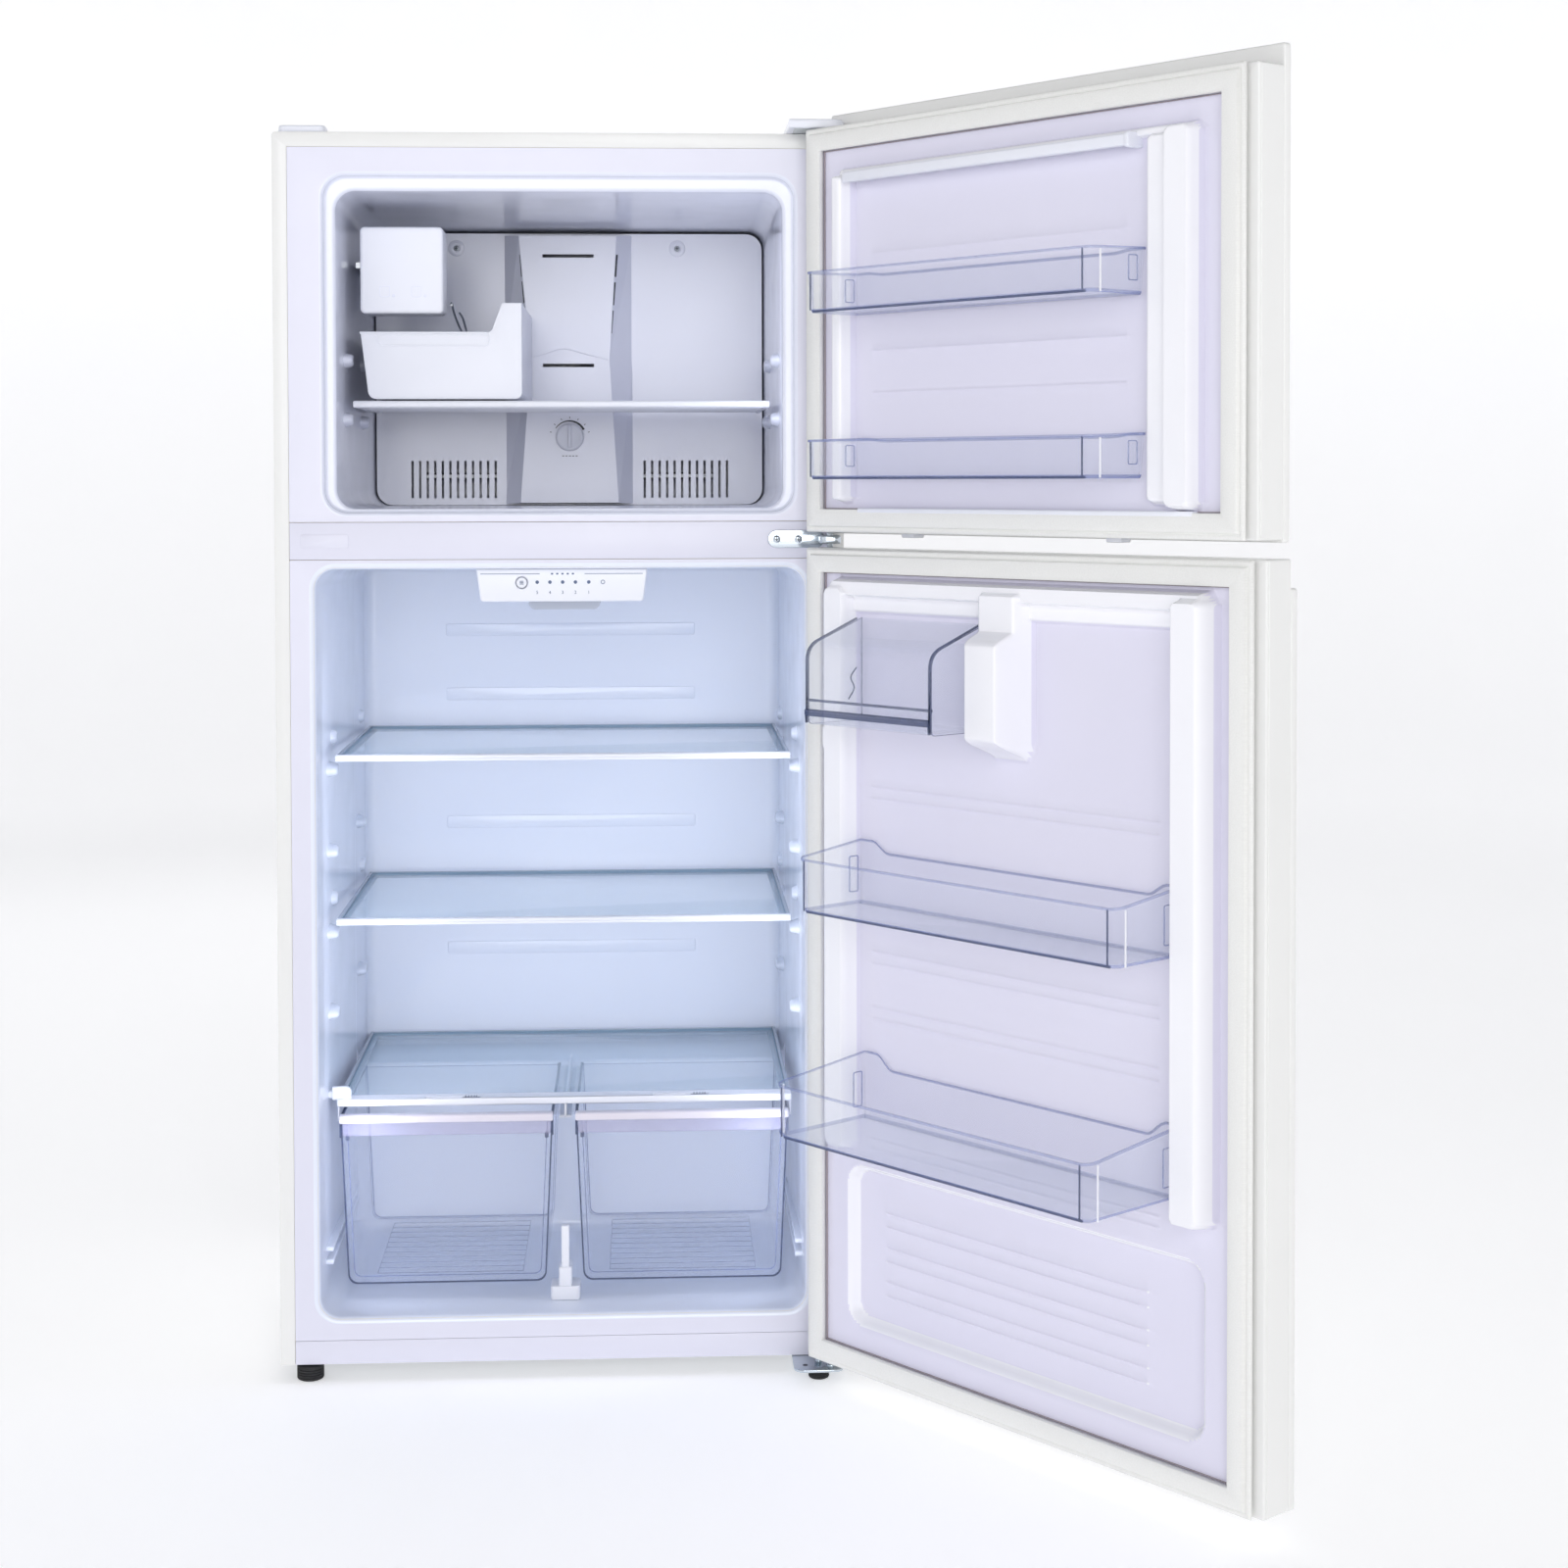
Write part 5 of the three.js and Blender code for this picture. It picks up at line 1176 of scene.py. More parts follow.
        pane = slab("z", rounded_loop(even(half - 5.4), (front + 18.3, back - 5.4), 2, 3),
                    (z - 2.8, z + 1.2), 0.6, 2, rim=1)
        add_piece("crisper_cover_pane", pane, place, [SHELF_GLASS, GLASS_EDGE], ["crisper_cover_glass"])
        for name, (a, b) in (("left", (-141, -117)), ("right", (172, 196))):
            base = box_form((a, b), (front - 1.6, front + 7.5), (z - 1.6, z + 1.8), 0.5)
            grips = [box_form((a + k, a + k + 1.3), (front - 1.2, front + 7), (z + 1.4, z + 4.4), 0.5)
                     for k in (4, 8, 12, 16, 19)]
            add_piece(f"humidity_knob_{name}", joined([base, *grips]), place.on(f"humidity_{name}"), SLIDER,
                      [f"humidity_slider_{name}"])

    def _post(self, place: Place) -> None:
        """The white post that keeps the drawers apart."""
        foot = rounded_slab("z", even(20), (56, 96), (84.8, 104), 5.0, 2.0, 4)
        neck = rounded_slab("z", even(9), (58, 94), (102, 130), 4.0, 2.0, 4)
        stem = rounded_slab("z", even(5.5), (60, 72), (104, 186), 2.5, 1.6, 3)
        add_piece("crisper_divider_post", joined([foot, neck, stem]), place, ABS, ["crisper_post"])


@dataclass
class CrisperDrawer:
    """One clear drawer, whose walls lean in towards its ribbed floor."""

    side: str
    top: Span
    floor: Span
    low: float = 107.0
    rim: float = 341.0
    front: float = 60.0
    back: float = 384.0
    corner: float = 13.0

    def _outline(self, by: float, top: float) -> np.ndarray:
        """The front wall's outline, drawn in by a distance, up to a given height."""
        r = self.corner - by * 0.5
        a, b, low = self.floor[0] + by, self.floor[1] - by, self.low + by
        return np.array(arc_points((a + r, low + r), r, 183, 270, 7)
                        + arc_points((b - r, low + r), r, 270, 357, 7)
                        + [(self.top[1] - by, top), (self.top[0] + by, top)])

    def _band(self, by: float, width: float) -> np.ndarray:
        """A U-shaped band along the outline, drawn in by a distance and of a given width."""
        outer, inner = self._outline(by, self.rim - 4), self._outline(by + width, self.rim - 4)
        return np.vstack([outer[:-1], [inner[-2]], inner[:-2][::-1], [inner[-1]], [outer[-1]]])

    def _bead(self, by: float, width: float, y: Span, mark: int) -> Form:
        """A thickened bead along the band, with one finish."""
        return slab("y", self._band(by, width), y, 0.5, 1).with_mark(mark)

    def build(self, place: Place) -> None:
        """Makes the drawer's walls, its front bar, its runners and the ribs of its floor."""
        outer = self._outline(0, self.rim - 4)
        y = (self.front + 14, self.back)
        front = slab("y", outer, (y[0], y[0] + CLEAR_WALL), 0.7, 2, rim=1)
        back = slab("y", self._outline(0.3, self.rim - 6), (y[1] - CLEAR_WALL, y[1]), 0.7, 2, rim=2)
        # the beads draw the U lines round the front and back walls in painted edge shade
        beads = [self._bead(0.0, 2.0, (y[0] - 1.2, y[0] + 1.4), 1),
                 self._bead(7.0, 1.4, (y[0] + 8, y[0] + 10), 2),
                 self._bead(2.6, 1.2, (y[1] - 3.4, y[1] - 1.6), 2)]
        walls = slab("y", self._band(0.0, CLEAR_WALL), (y[0] + 1, y[1] - 1), 0.3, 1)
        edges = [box_form((x[0], x[1]), (y[0], y[1]), (self.rim - 6.4, self.rim - 3.6), 0.7).with_mark(1)
                 for x in ((self.top[0] - 1, self.top[0] + 3), (self.top[1] - 3, self.top[1] + 1))]
        runner = (-308.4, -305.4) if self.side == "left" else (305.4, 308.4)
        middle = (-15.5, -2.5) if self.side == "left" else (2.5, 15.5)
        runners = [box_form(x, (93, y[1]), (331, 333.6), 0.5) for x in (runner, middle)]
        stops = [box_form((x - 1.6, x + 1.6), (y[0] - 5, y[0] - 1.5), (309, 338), 0.8).with_mark(1)
                 for x in (self.top[0] + 1.0, self.top[1] - 1.0)]
        stops += [box_form((x - 2.6, x + 2.6), (y[0] + 4, y[0] + 9), (303, 311), 1.0).with_mark(1)
                  for x in (self.top[0] + 9, self.top[1] - 9)]
        body = f"crisper_drawer_{self.side}"
        add_piece(f"{body}_shell", joined([front, back, walls, *beads, *edges, *runners, *stops]), place,
                  [CRYSTAL, CRYSTAL_EDGE_SHADE, CRYSTAL_RIM_SHADE], [body])
        self._floor_ribs(f"{body}_ribs", place)
        bar = slab("x", rounded_loop((self.front, self.front + 17), (self.rim - 11, self.rim), 3.2, 5),
                   grown(self.top, 0.4), 1.8, 3)
        lip = slab("x", rounded_loop((self.front + 10, self.front + 15), (self.rim - 30, self.rim - 6),
                                     1.8, 4),
                   grown(self.top, -3), 1.0)
        add_piece(f"{body}_bar", bar, place, PEARL)
        add_piece(f"{body}_lip", lip, place, CRYSTAL_BAND)

    def _floor_ribs(self, name: str, place: Place) -> None:
        """The fine ribs across the drawer's floor."""
        x = (self.floor[0] + 36, self.floor[1] - 34)
        z = (self.low + CLEAR_WALL - 0.3, self.low + CLEAR_WALL + 0.9)
        ribs = [box_form(x, (y - 0.5, y + 0.5), z, 0.3) for y in np.linspace(112, 352, 11)]
        rails = [box_form((at - 0.6, at + 0.6), (112, 352), z, 0.3) for at in x]
        add_piece(name, joined(ribs + rails), place, CRYSTAL_RIB)


def numeral(text: str, size: float) -> Form:
    """A digit as a thin raised form, facing the front, centred on X and standing on its base line."""
    curve = bpy.data.curves.new(f"digit_{text}", "FONT")
    curve.body, curve.size, curve.extrude, curve.align_x = text, size, 0.3, "CENTER"
    holder = bpy.data.objects.new(curve.name, curve)
    bpy.context.scene.collection.objects.link(holder)
    bpy.context.view_layer.update()
    mesh = bpy.data.meshes.new_from_object(holder)
    points = np.array([v.co for v in mesh.vertices])
    faces = [tuple(p.vertices) for p in mesh.polygons]
    bpy.data.objects.remove(holder)
    return Form(np.stack([points[:, 0], -points[:, 2] + 0.3, points[:, 1]], axis=1), faces, [0] * len(faces))


# ---------------------------------------------------------------- doors
@dataclass(frozen=True)
class Relief:
    """One rounded rectangular rise or hollow drawn into a door liner, towards the cabinet if positive."""

    x: Span
    z: Span
    height: float
    draft: float = 8.0
    radius: float = 12.0
    draft_z: float | None = None

    def over(self, x: np.ndarray, z: np.ndarray) -> np.ndarray:
        """Its height over a grid of points."""
        squeeze = (self.draft_z or self.draft) / self.draft
        half = np.array([(self.x[1] - self.x[0]) / 2, (self.z[1] - self.z[0]) / 2 / squeeze])
        middle = ((self.x[0] + self.x[1]) / 2, (self.z[0] + self.z[1]) / 2)
        r = min(self.radius, half.min() - 0.1)
        across = np.abs(x - middle[0]) - half[0] + r
        up = np.abs(z - middle[1]) / squeeze - half[1] + r
        outside = (np.hypot(np.maximum(across, 0), np.maximum(up, 0))
                   + np.minimum(np.maximum(across, up), 0) - r)
        share = np.clip(-outside / self.draft, 0, 1)
        return self.height * share * share * (3 - 2 * share)

    def lines(self, axis: int) -> list[float]:
        """Where the grid has to be fine along one axis: over each flank."""
        low, high = (self.x, self.z)[axis]
        draft = self.draft if axis == 0 else (self.draft_z or self.draft)
        reach = min(draft + self.radius * 0.6, (high - low) / 2)
        count = max(int(reach / 2.2), 3)
        return [*np.linspace(low, low + reach, count), *np.linspace(high - reach, high, count)]


@dataclass
class DoorSet:
    """One door: its painted skin, end caps, formed liner and gasket."""

    name: str
    low: float
    high: float
    skin_low: float
    skin_high: float
    liner_z: Span
    gasket_z: Span
    reliefs: tuple[Relief, ...]
    half: float = 378.0
    liner_half: float = 345.0
    inner: float = -12.7
    outer: float = -71.9
    skin: float = 12.0

    def build(self, place: Place) -> None:
        """Makes the door without its bins."""
        self._panel(place)
        self._liner(place)
        self._gasket(place)

    def _panel(self, place: Place) -> None:
        """The steel skin wrapped over the front, and the moulded frame behind it."""
        face = slab("y", rounded_loop(even(self.half), (self.skin_low, self.skin_high), 4.0, 5),
                    (self.outer, self.outer + self.skin), 2.6, 4, flat=1.0)
        y = (self.outer + self.skin - 0.2, self.inner - 2.3)
        loop = rounded_loop(even(self.half), (self.low, self.high), 3.0, 5)
        bends = rounding(2.5, 4)
        rings = [set_at("y", inset(loop, 1.2), y[0]), set_at("y", inset(loop, 1.2), y[0] + 1.4),
                 set_at("y", loop, y[0] + 2.2), set_at("y", loop, y[1] - 6.0),
                 set_at("y", inset(loop, 0.8), y[1] - 5.4),
                 set_at("y", inset(loop, 0.8), y[1] - 4.4), set_at("y", loop, y[1] - 3.8)]
        rings += [set_at("y", inset(loop, d), y[1] - t) for d, t in reversed(bends)]
        hollow = rounded_loop(even(self.half - 40), (self.low + 40, self.high - 40), 3.0, 5)
        rings += [set_at("y", hollow, y[1]), set_at("y", hollow, y[0])]
        frame_form = skin(rings, capped=False)
        add_piece(f"{self.name}_skin", face, place, ENAMEL, [f"{self.name}_panel"])
        add_piece(f"{self.name}_frame", frame_form, place, ENAMEL)

    def _liner(self, place: Place) -> None:
        """The formed liner: a sheet raised by its ridges, sunk by its trays and lined with ribs."""
        xs = self._grid_lines(0, even(self.liner_half))
        zs = self._grid_lines(1, self.liner_z)
        x, z = np.meshgrid(xs, zs)
        rise = np.zeros_like(x)
        for relief in self.reliefs:
            over = relief.over(x, z)
            if relief.height > RIB_HEIGHT:
                rise = np.where(over > 0, np.maximum(rise, over), rise)
            else:
                rise = rise + over
        front = np.stack([x, self.inner + rise, z], axis=2).reshape(-1, 3)
        back = front - np.array([0.0, PLASTIC, 0.0])
        columns, rows = len(xs), len(zs)
        size = columns * rows
        index = np.arange(size).reshape(rows, columns)
        quads = np.stack([index[:-1, :-1], index[:-1, 1:], index[1:, 1:], index[1:, :-1]],
                         axis=2).reshape(-1, 4)
        faces = [tuple(q) for q in quads] + [tuple(q[::-1] + size) for q in quads]
        border = [*index[0, :-1], *index[:-1, -1], *index[-1, :0:-1], *index[:0:-1, 0]]
        faces += [(a, a + size, b + size, b) for a, b in zip(border, border[1:] + border[:1])]
        heights = np.tile(rise.reshape(-1), 2)
        # mark 1 lays the painted highlight on raised faces and on a tray's steep flanks
        marks = []
        for face in faces:
            low, high = min(heights[i] for i in face), max(heights[i] for i in face)
            marks.append(int(low > 1.5 or (low < -1.0 and high - low > 1.2)))
        form = Form(np.vstack([front, back]), faces, marks)
        add_piece(f"{self.name}_formed_liner", form, place, [DOOR_LINER, DOOR_SHEET_HIGHLIGHT], [f"{self.name}_liner"],
                  smooth_deg=60)

    def _grid_lines(self, axis: int, span: Span) -> np.ndarray:
        """Grid lines along one axis: fine over the flanks of the reliefs and coarse between them."""
        lines = set(np.round(np.linspace(*span, int((span[1] - span[0]) / 16) + 1), 2))
        for relief in self.reliefs:
            lines |= {round(float(v), 2) for v in relief.lines(axis)}
        ordered = sorted(v for v in lines if span[0] <= v <= span[1])
        kept = [ordered[0]]
        for value in ordered[1:]:
            if value - kept[-1] > 0.9:
                kept.append(value)
        kept[-1] = span[1]
        return np.array(kept)

    def _gasket(self, place: Place) -> None:
        """The extruded gasket: a flat magnet chamber, bellows and an outer bead, mitred at the corners."""
        profile = [(-19, 0.4), (-22, 3.2), (-22.2, 10.6), (-21.2, 11.7), (-12, 11.2), (-3, 11.7),
                   (-0.6, 10.8), (0, 8.6),
                   (1.4, 6.4), (3.2, 7.9), (6.8, 7.7), (8.0, 5.6), (7.6, 3.0), (5.4, 2.1), (0, 2.3),
                   (-6, 0.4)]
        rings = []
        for reach, height in profile:
            loop = rounded_loop(even(358 + reach), grown(self.gasket_z, reach), 0.4, 1)
            rings.append(set_at("y", loop, self.inner + height))
        add_piece(f"{self.name}_seal", skin(rings, capped=False), place, GASKET_VINYL,
                  [f"{self.name}_gasket"],
                  smooth_deg=50)
        # a brown grey strip just inside the gasket: painted shadow of the magnet chamber
        line = rounded_loop(even(358 - 22.6), grown(self.gasket_z, -22.6), 0.4, 1)
        strip = slab("y", line, (self.inner + 0.2, self.inner + 2.6), 0.3, 1, holes=[inset(line, 1.0)])
        add_piece(f"{self.name}_seal_painted_shadow", strip, place, SEAL_SHADOW)


def densified(loop: np.ndarray, step: float) -> np.ndarray:
    """Adds points along a loop's long straight stretches."""
    points = []
    for a, b in zip(loop, np.roll(loop, -1, axis=0)):
        count = max(int(np.linalg.norm(b - a) / step), 1)
        points += [a + (b - a) * k / count for k in range(count)]
    return np.array(points)


@dataclass
class DoorBin:
    """A clear door bin, whose end walls rise towards the door and sweep down into its back."""

    node: str
    x: Span
    z: Span
    reach: float
    hump: float
    inner: float = -12.7
    plateau: float = 20.0
    sweep: float = 30.0

    def build(self, place: Place) -> None:
        """Makes the bin's shell and the catches on its ends."""
        y = (self.inner + 2.6, self.inner + self.reach)
        loop = densified(rounded_loop(self.x, y, [3, 15, 15, 3], 6), 6.0)
        along = (loop[:, 1] - y[0]) / (y[1] - y[0])
        from_end = np.minimum(loop[:, 0] - self.x[0], self.x[1] - loop[:, 0])
        fall = np.clip((from_end - self.plateau) / self.sweep, 0, 1)
        top = self.z[1] + self.hump * (1 - along) * (1 - fall * fall * (3 - 2 * fall))
        low = self.z[0]
        rings, marks = [], []
        # mark 2 draws the bottom band and the turned top rim in the lighter painted edge shade
        for d, rise, mark in ((8.0, 0.0, 0), (5.6, 0.3, 2), (4.2, 2.4, 2), (3.6, 4.6, 0)):
            rings.append(set_at("z", inset(loop, d), low + rise))
            marks.append(mark)
        for d, drop, mark in ((0.4, 4.2, 0), (0.2, 3.6, 0), (-0.9, 3.0, 2), (-1.1, 0.7, 2), (-0.7, 0.0, 2),
                              (1.3, 0.0, 0), (1.9, 0.7, 0), (2.6, 4.0, 0)):
            rings.append(set_at("z", inset(loop, d), top - drop))
            marks.append(mark)
        for d, rise, mark in ((5.8, 7.0, 0), (6.6, 4.0, 0), (9.0, 2.6, 0)):
            rings.append(set_at("z", inset(loop, d), low + rise))
            marks.append(mark)
        shell = skin(rings, marks=marks[:-1] + [0, 0])
        # a dark bar along the bottom front edge: painted edge shade
        fillet = box_form(grown(self.x, -13), (y[1] - 6.6, y[1] - 3.8), (low, low + 3.2), 0.8).with_mark(1)
        forms = [shell, fillet]
        for end, sign in ((self.x[0], 1), (self.x[1], -1)):
            frame_loop = rounded_loop((y[0] + 9, y[0] + 25), (low + 16, self.z[1] - 6), 2.5, 3)
            span = sorted((end + sign * 3.4, end + sign * 5.4))
            forms.append(slab("x", frame_loop, (span[0], span[1]), 0.5, 1,
                              holes=[inset(frame_loop, 1.2)]).with_mark(2))
            # a thin dark line up each front corner: painted edge shade
            across = sorted((end + sign * 12.5, end + sign * 14.2))
            corner = [(across[0], y[1] - 1.0), (across[1], y[1] - 1.0), (across[1], y[1] + 0.4),
                      (across[0], y[1] + 0.4)]
            forms.append(slab("z", np.array(corner), (low + 3, self.z[1] - 2), 0.3, 1).with_mark(1))
            # a near white strip beside each front corner: painted highlight of the corner's fillet
            across = sorted((end - sign * 0.7, end + sign * 0.8))
            forms.append(box_form((across[0], across[1]), (y[1] - 17, y[1] - 14.4),
                                  (low + 1, self.z[1] - 3), 0.6)
                         .with_mark(3))
        add_piece(f"{self.node}_shell", joined(forms), place,
                  [CRYSTAL, CRYSTAL_EDGE_SHADE, CRYSTAL_RIM_SHADE, CRYSTAL_PAINTED_GLINT], [self.node])


@dataclass
class DairyCompartment:
    """The covered dairy compartment: a clear box with a curved lid hinged at the top."""

    x: Span = (43.0, 264.0)
    low: float = 890.0
    high: float = 1030.0
    reach: float = 103.0
    inner: float = -12.7

    def _profile(self, by: float) -> list[tuple[float, float]]:
        """The end wall's outline in Y-Z, drawn in by a distance."""
        y = (self.inner + 1.2 + by, self.inner + self.reach - by)
        bend = [(y[1] - 16 * t * t, 975 + 34 * t * (1 - t) + 25 * t * t - by * 0.4 * t)
                for t in np.linspace(0, 1, 7)]
        foot = arc_points((y[1] - 6, self.low + by + 6), 6, 270, 360, 4)
        return [(y[0], self.low + by), *foot, *bend, (y[0], self.high - by)]

    def build(self, place: Place, lid_place: Place) -> None:
        """Makes the box and the lid.

        Args:
            place: the door's place.
            lid_place: the same place on the lid's body.
        """
        outline = np.array(self._profile(4.0))
        ends = [slab("x", outline, span, 0.6, 2, rim=1) for span in
                ((self.x[0], self.x[0] + CLEAR_WALL), (self.x[1] - CLEAR_WALL, self.x[1]))]
        y = (self.inner + 5.2, self.inner + self.reach - 4)
        z = self.low + 4
        floor = box_form(grown(self.x, -1), (y[0], y[1] - 5), (z, z + CLEAR_WALL), 0.6)
        front = slab("x", rounded_loop((y[1] - CLEAR_WALL, y[1]), (z + 3, 925), 1, 2), grown(self.x, -1), 0.4)
        rim = box_form(grown(self.x, -1), (y[1] - 3.4, y[1] - 0.4), (923, 926.4), 0.8).with_mark(1)
        back = box_form(grown(self.x, -1), (y[0], y[0] + CLEAR_WALL), (z, 1000), 0.6)
        catches = [wire_form([(x, y[0] + 12, 962), (x, y[0] + 22, 950), (x, y[0] + 16, 936),
                              (x, y[0] + 26, 922)],
                             0.9, 6, 4).with_mark(1) for x in (self.x[0] + 3.4, self.x[1] - 3.4)]
        add_piece("dairy_box", joined([*ends, floor, front, rim, back, *catches]), place,
                  [CRYSTAL, CRYSTAL_EDGE_SHADE], ["dairy_bin"])
        line = self._profile(0.0)[5:]
        line = [(self.inner + self.reach, 912.0)] + line[:-1] + [(self.inner + 15, 1026.5)]
        band = np.array(line + list(reversed(offset_path(line, 2.8))))
        sheet = slab("x", band, self.x, 0.7, 2)
        sheet.marks = [0] * (len(sheet.faces) - 2) + [1, 1]
        strips = [slab("x", band, (at, at + 3.0), 0.9, 2).with_mark(1)
                  for at in (self.x[0] - 0.2, self.x[1] - 2.8)]
        pull = slab("x", rounded_loop((self.inner + self.reach - 3, self.inner + self.reach + 2.4),
                                      (905, 914), 2.2, 4),
                    self.x, 1.0, 2).with_mark(1)
        add_piece("dairy_cover", joined([sheet, *strips, pull]), lid_place, [CRYSTAL, CRYSTAL_EDGE_SHADE],
                  ["dairy_lid"])


FREEZER_RELIEFS = (
    Relief((-304, -224), (1172, 1600), 16.0, 8.0, 14.0),
    Relief((-304, -258), (1166, 1606), 25.0, 7.0, 14.0),
    Relief((276, 306), (1172, 1600), 24.0, 8.0, 12.0),
    Relief((-300, 300), (1592, 1606), 10.0, 4.0, 6.0),
    Relief((-190, 246), (1490, 1496), 1.0, 3.0, 2.0),
    Relief((-190, 246), (1366, 1371), 1.2, 2.5, 2.0),
    Relief((-190, 246), (1312, 1317), 1.2, 2.5, 2.0),
)
FRIDGE_RELIEFS = (
    Relief((-317, -266), (352, 1072), 38.0, 8.0, 14.0),
    Relief((272, 319), (330, 1072), 28.0, 8.0, 18.0),
    Relief((288, 320), (850, 888), 28.0, 6.0, 8.0),
    Relief((-310, 312), (1050, 1078), 22.0, 6.0, 10.0),
    Relief((-300, 300), (1030, 1060), 9.0, 6.0, 8.0),
    Relief((-36, 40), (858, 1036), 60.0, 14.0, 12.0, 34.0),
    Relief((-36, 40), (970, 1072), 32.0, 10.0, 12.0),
    Relief((-296, 297), (100, 312), -16.0, 10.0, 30.0),
) + tuple(Relief((-230, 250), (z, z + 5), 1.4, 2.5, 2.0) for z in (805, 790, 592, 577, 520, 505, 348, 335)) \
  + tuple(Relief((-200, 240), (z, z + 5), 1.6, 2.5, 2.0) for z in (250, 232, 205, 187, 160, 142))


@dataclass
class Doors:
    """Both doors with their bins and small fittings."""

    def build(self, freezer: Place, fridge: Place) -> None:
        """Makes both doors."""
        DoorSet("freezer_door", 1135, 1662, 1132, 1687, (1157, 1641), (1143, 1654),
                FREEZER_RELIEFS).build(freezer)
        DoorSet("fridge_door", 38, 1114, 36, 1081, (60, 1095), (46, 1105), FRIDGE_RELIEFS).build(fridge)
        for node, z in (("freezer_bin_upper", (1414, 1466)), ("freezer_bin_lower", (1204, 1254))):
            DoorBin(node, (-219, 271), z, 95, 3.0).build(freezer.on(node))
        DoorBin("fridge_bin_middle", (-262, 268), (656, 725), 115, 14).build(fridge.on("fridge_bin_middle"))
        DoorBin("fridge_bin_lower", (-261, 261), (378, 446), 160, 18).build(fridge.on("fridge_bin_lower"))
        DairyCompartment().build(fridge, fridge.on("dairy_lid"))
        self._fittings(freezer, fridge)

    def _fittings(self, freezer: Place, fridge: Place) -> None:
        """The retainer bar, the ledge under the lower bin and the tabs under the doors."""
        y = -12.7
        bar = slab("x", rounded_loop((y + 4, y + 24), (1586, 1591.5), 2.4, 4), (-206, 276), 1.6, 3)
        lip = slab("x", rounded_loop((y + 20, y + 25), (1584, 1598), 2.2, 4), (-206, 276), 1.6, 3)
        tab = slab("x", rounded_loop((y - 2, y + 26), (1582, 1600), 4, 4), (-212, -205), 1.6, 3)
        add_piece("freezer_door_retainer", joined([bar, lip, tab]), freezer, ABS)
        ledge = slab("x", rounded_loop((y + 0.5, y + 12), (1160.5, 1167), 2, 4), (-296, 262), 1.4, 3)
        add_piece("freezer_door_ledge", ledge, freezer, ABS)
        stops = [box_form((x - 9, x + 9), (-50, -32), (30.5, 39), 1.6) for x in (150, 225)]
        add_piece("fridge_door_stops", joined(stops), fridge, ABS)
        stops = [box_form((x - 12, x + 12), (-50, -32), (1129, 1136), 1.6) for x in (-150, 200)]
        add_piece("freezer_door_stops", joined(stops), freezer, ABS)


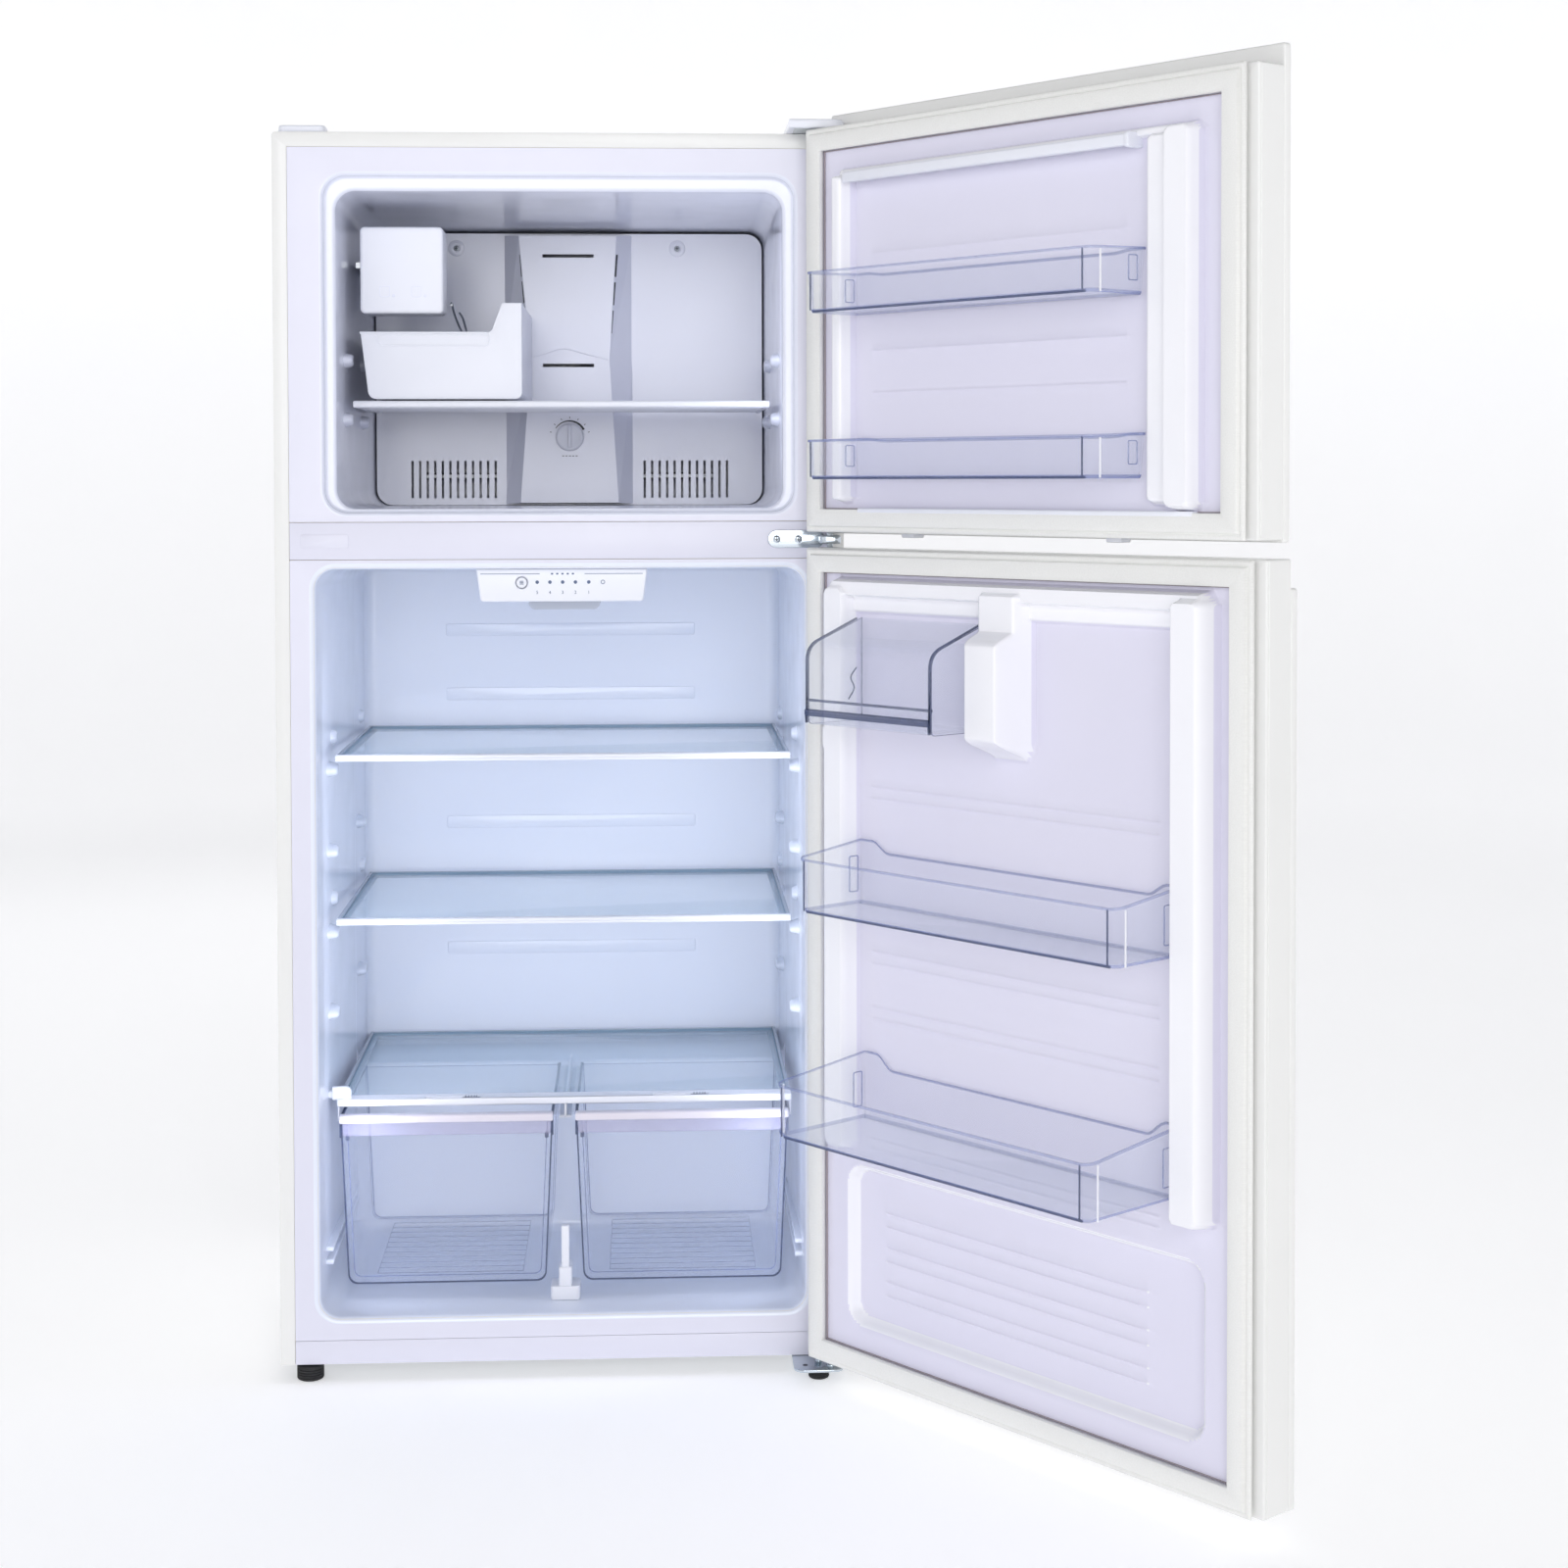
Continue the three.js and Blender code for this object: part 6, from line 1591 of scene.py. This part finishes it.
# ---------------------------------------------------------------- studio
@dataclass
class Studio:
    """The camera, lights and floor around the refrigerator, in metres."""

    eye: Point = (-0.119792, -3.448114, 1.203427)
    heading_deg: float = 2.9939
    fall_deg: float = 1.6372
    roll_deg: float = 0.1263
    lens_mm: float = 59.134
    shift: tuple[float, float] = (0.0025, -0.147)

    def build(self) -> None:
        """Makes the camera, the lights, the world and the floor."""
        self._camera()
        self._floor()
        self._world()
        self._area("front", (0.0, -7.2, 2.3), (0.0, 0.0, 0.85), 3.6, 125)
        self._area("key", (-2.8, -3.2, 3.4), (-0.1, 0.0, 1.0), 2.6, 6)
        self._area("overhead", (0.0, 0.4, 5.2), (0.0, 0.4, 0.0), 5.0, 30)
        self._area("side", (3.2, -1.6, 2.6), (0.3, -0.1, 1.0), 2.2, 4)
        self._area("back", (-0.8, 3.8, 2.8), (0.0, 0.3, 0.9), 3.0, 18)
        for name, at, height, power in (("fridge_left", (-0.515, 0.012, 0.555), 0.82, 0.5),
                                        ("fridge_right", (0.05, 0.012, 0.555), 0.82, 0.5),
                                        ("freezer_left", (-0.548, 0.06, 1.37), 0.34, 0.32),
                                        ("freezer_right", (0.05, 0.012, 1.37), 0.34, 0.12)):
            self._strip(name, at, (-0.2325, 0.42, at[2]), height, power)

    def _camera(self) -> None:
        """The camera, level with the middle shelves and a little to the left."""
        data = bpy.data.cameras.new("camera")
        data.lens, data.sensor_width = self.lens_mm, 36.0
        data.shift_x, data.shift_y = self.shift
        data.clip_start, data.clip_end = 0.05, 60.0
        camera = bpy.data.objects.new("camera", data)
        bpy.context.scene.collection.objects.link(camera)
        turn = (Matrix.Rotation(-math.radians(self.heading_deg), 4, "Z")
                @ Matrix.Rotation(math.radians(90 - self.fall_deg), 4, "X")
                @ Matrix.Rotation(-math.radians(self.roll_deg), 4, "Z"))
        camera.matrix_world = Matrix.Translation(Vector(self.eye)) @ turn
        bpy.context.scene.camera = camera

    def _floor(self) -> None:
        """A plain pale floor that curves up into a low wall all round, far from the object."""
        flat, bend, top, sides = 6.5, 2.5, 5.5, 72
        profile = [(0.0, 0.0)] + [(flat + bend * math.sin(a), bend - bend * math.cos(a))
                                  for a in (math.radians(90 * k / 12)
                                            for k in range(13))] + [(flat + bend, top)]
        turns = [(math.cos(2 * math.pi * k / sides), math.sin(2 * math.pi * k / sides)) for k in range(sides)]
        points = [(0.0, 0.0, 0.0)] + [(r * c, r * s, z) for r, z in profile[1:] for c, s in turns]
        faces = [(0, 1 + k, 1 + (k + 1) % sides) for k in range(sides)]
        for ring in range(len(profile) - 2):
            low, high = 1 + ring * sides, 1 + (ring + 1) * sides
            faces += [(low + k, high + k, high + (k + 1) % sides, low + (k + 1) % sides)
                      for k in range(sides)]
        mesh = bpy.data.meshes.new("studio_floor")
        mesh.from_pydata(points, [], faces)
        mesh.shade_smooth()
        mesh.materials.append(PAPER.material())
        floor = bpy.data.objects.new("studio_floor", mesh)
        bpy.context.scene.collection.objects.link(floor)

    def _world(self) -> None:
        """An even white surround."""
        world = bpy.data.worlds.new("studio")
        bpy.context.scene.world = world
        world.use_nodes = True
        shade = world.node_tree.nodes["Background"]
        shade.inputs["Color"].default_value = linear("#F4F6FC")
        shade.inputs["Strength"].default_value = 0.17
        bpy.context.scene.view_settings.view_transform = "Standard"
        bpy.context.scene.cycles.transparent_max_bounces = 40

    def _area(self, name: str, at: Point, aim: Point, size: float, power: float) -> None:
        """A square soft light aimed at a point."""
        data = bpy.data.lights.new(f"{name}_light", "AREA")
        data.size, data.energy = size, power
        lamp = bpy.data.objects.new(data.name, data)
        bpy.context.scene.collection.objects.link(lamp)
        lamp.location = at
        lamp.rotation_euler = (Vector(aim) - Vector(at)).to_track_quat("-Z", "Y").to_euler()

    def _strip(self, name: str, at: Point, aim: Point, height: float, power: float) -> None:
        """A cool upright light strip inside a compartment's mouth, seen only by what it lights."""
        data = bpy.data.lights.new(f"{name}_strip", "AREA")
        data.shape, data.size, data.size_y, data.energy = "RECTANGLE", 0.03, height, power
        data.color = linear("#E4ECFF")[:3]
        lamp = bpy.data.objects.new(data.name, data)
        bpy.context.scene.collection.objects.link(lamp)
        lamp.location = at
        lamp.rotation_euler = (Vector(aim) - Vector(at)).to_track_quat("-Z", "Y").to_euler()
        lamp.visible_camera = lamp.visible_glossy = False


def main() -> None:
    """Builds the studio and every sub-assembly in order."""
    logging.basicConfig(level=logging.INFO, format="%(name)s: %(message)s")
    Studio().build()
    cabinet = cabinet_place()
    Enclosure().build(cabinet)
    Hinges().build(cabinet)
    MachineSpace().build(cabinet)
    FreezerSpace().build(cabinet)
    FridgeSpace().build(cabinet)
    CrisperDrawer("left", (-305.5, -16.5), (-296, -26)).build(cabinet.on("crisper_left"))
    CrisperDrawer("right", (14.5, 305.5), (24, 296)).build(cabinet.on("crisper_right"))
    Doors().build(door_place("freezer_door", "freezer_door_hinge"),
                  door_place("fridge_door", "fridge_door_hinge"))


if __name__ == "__main__":
    main()
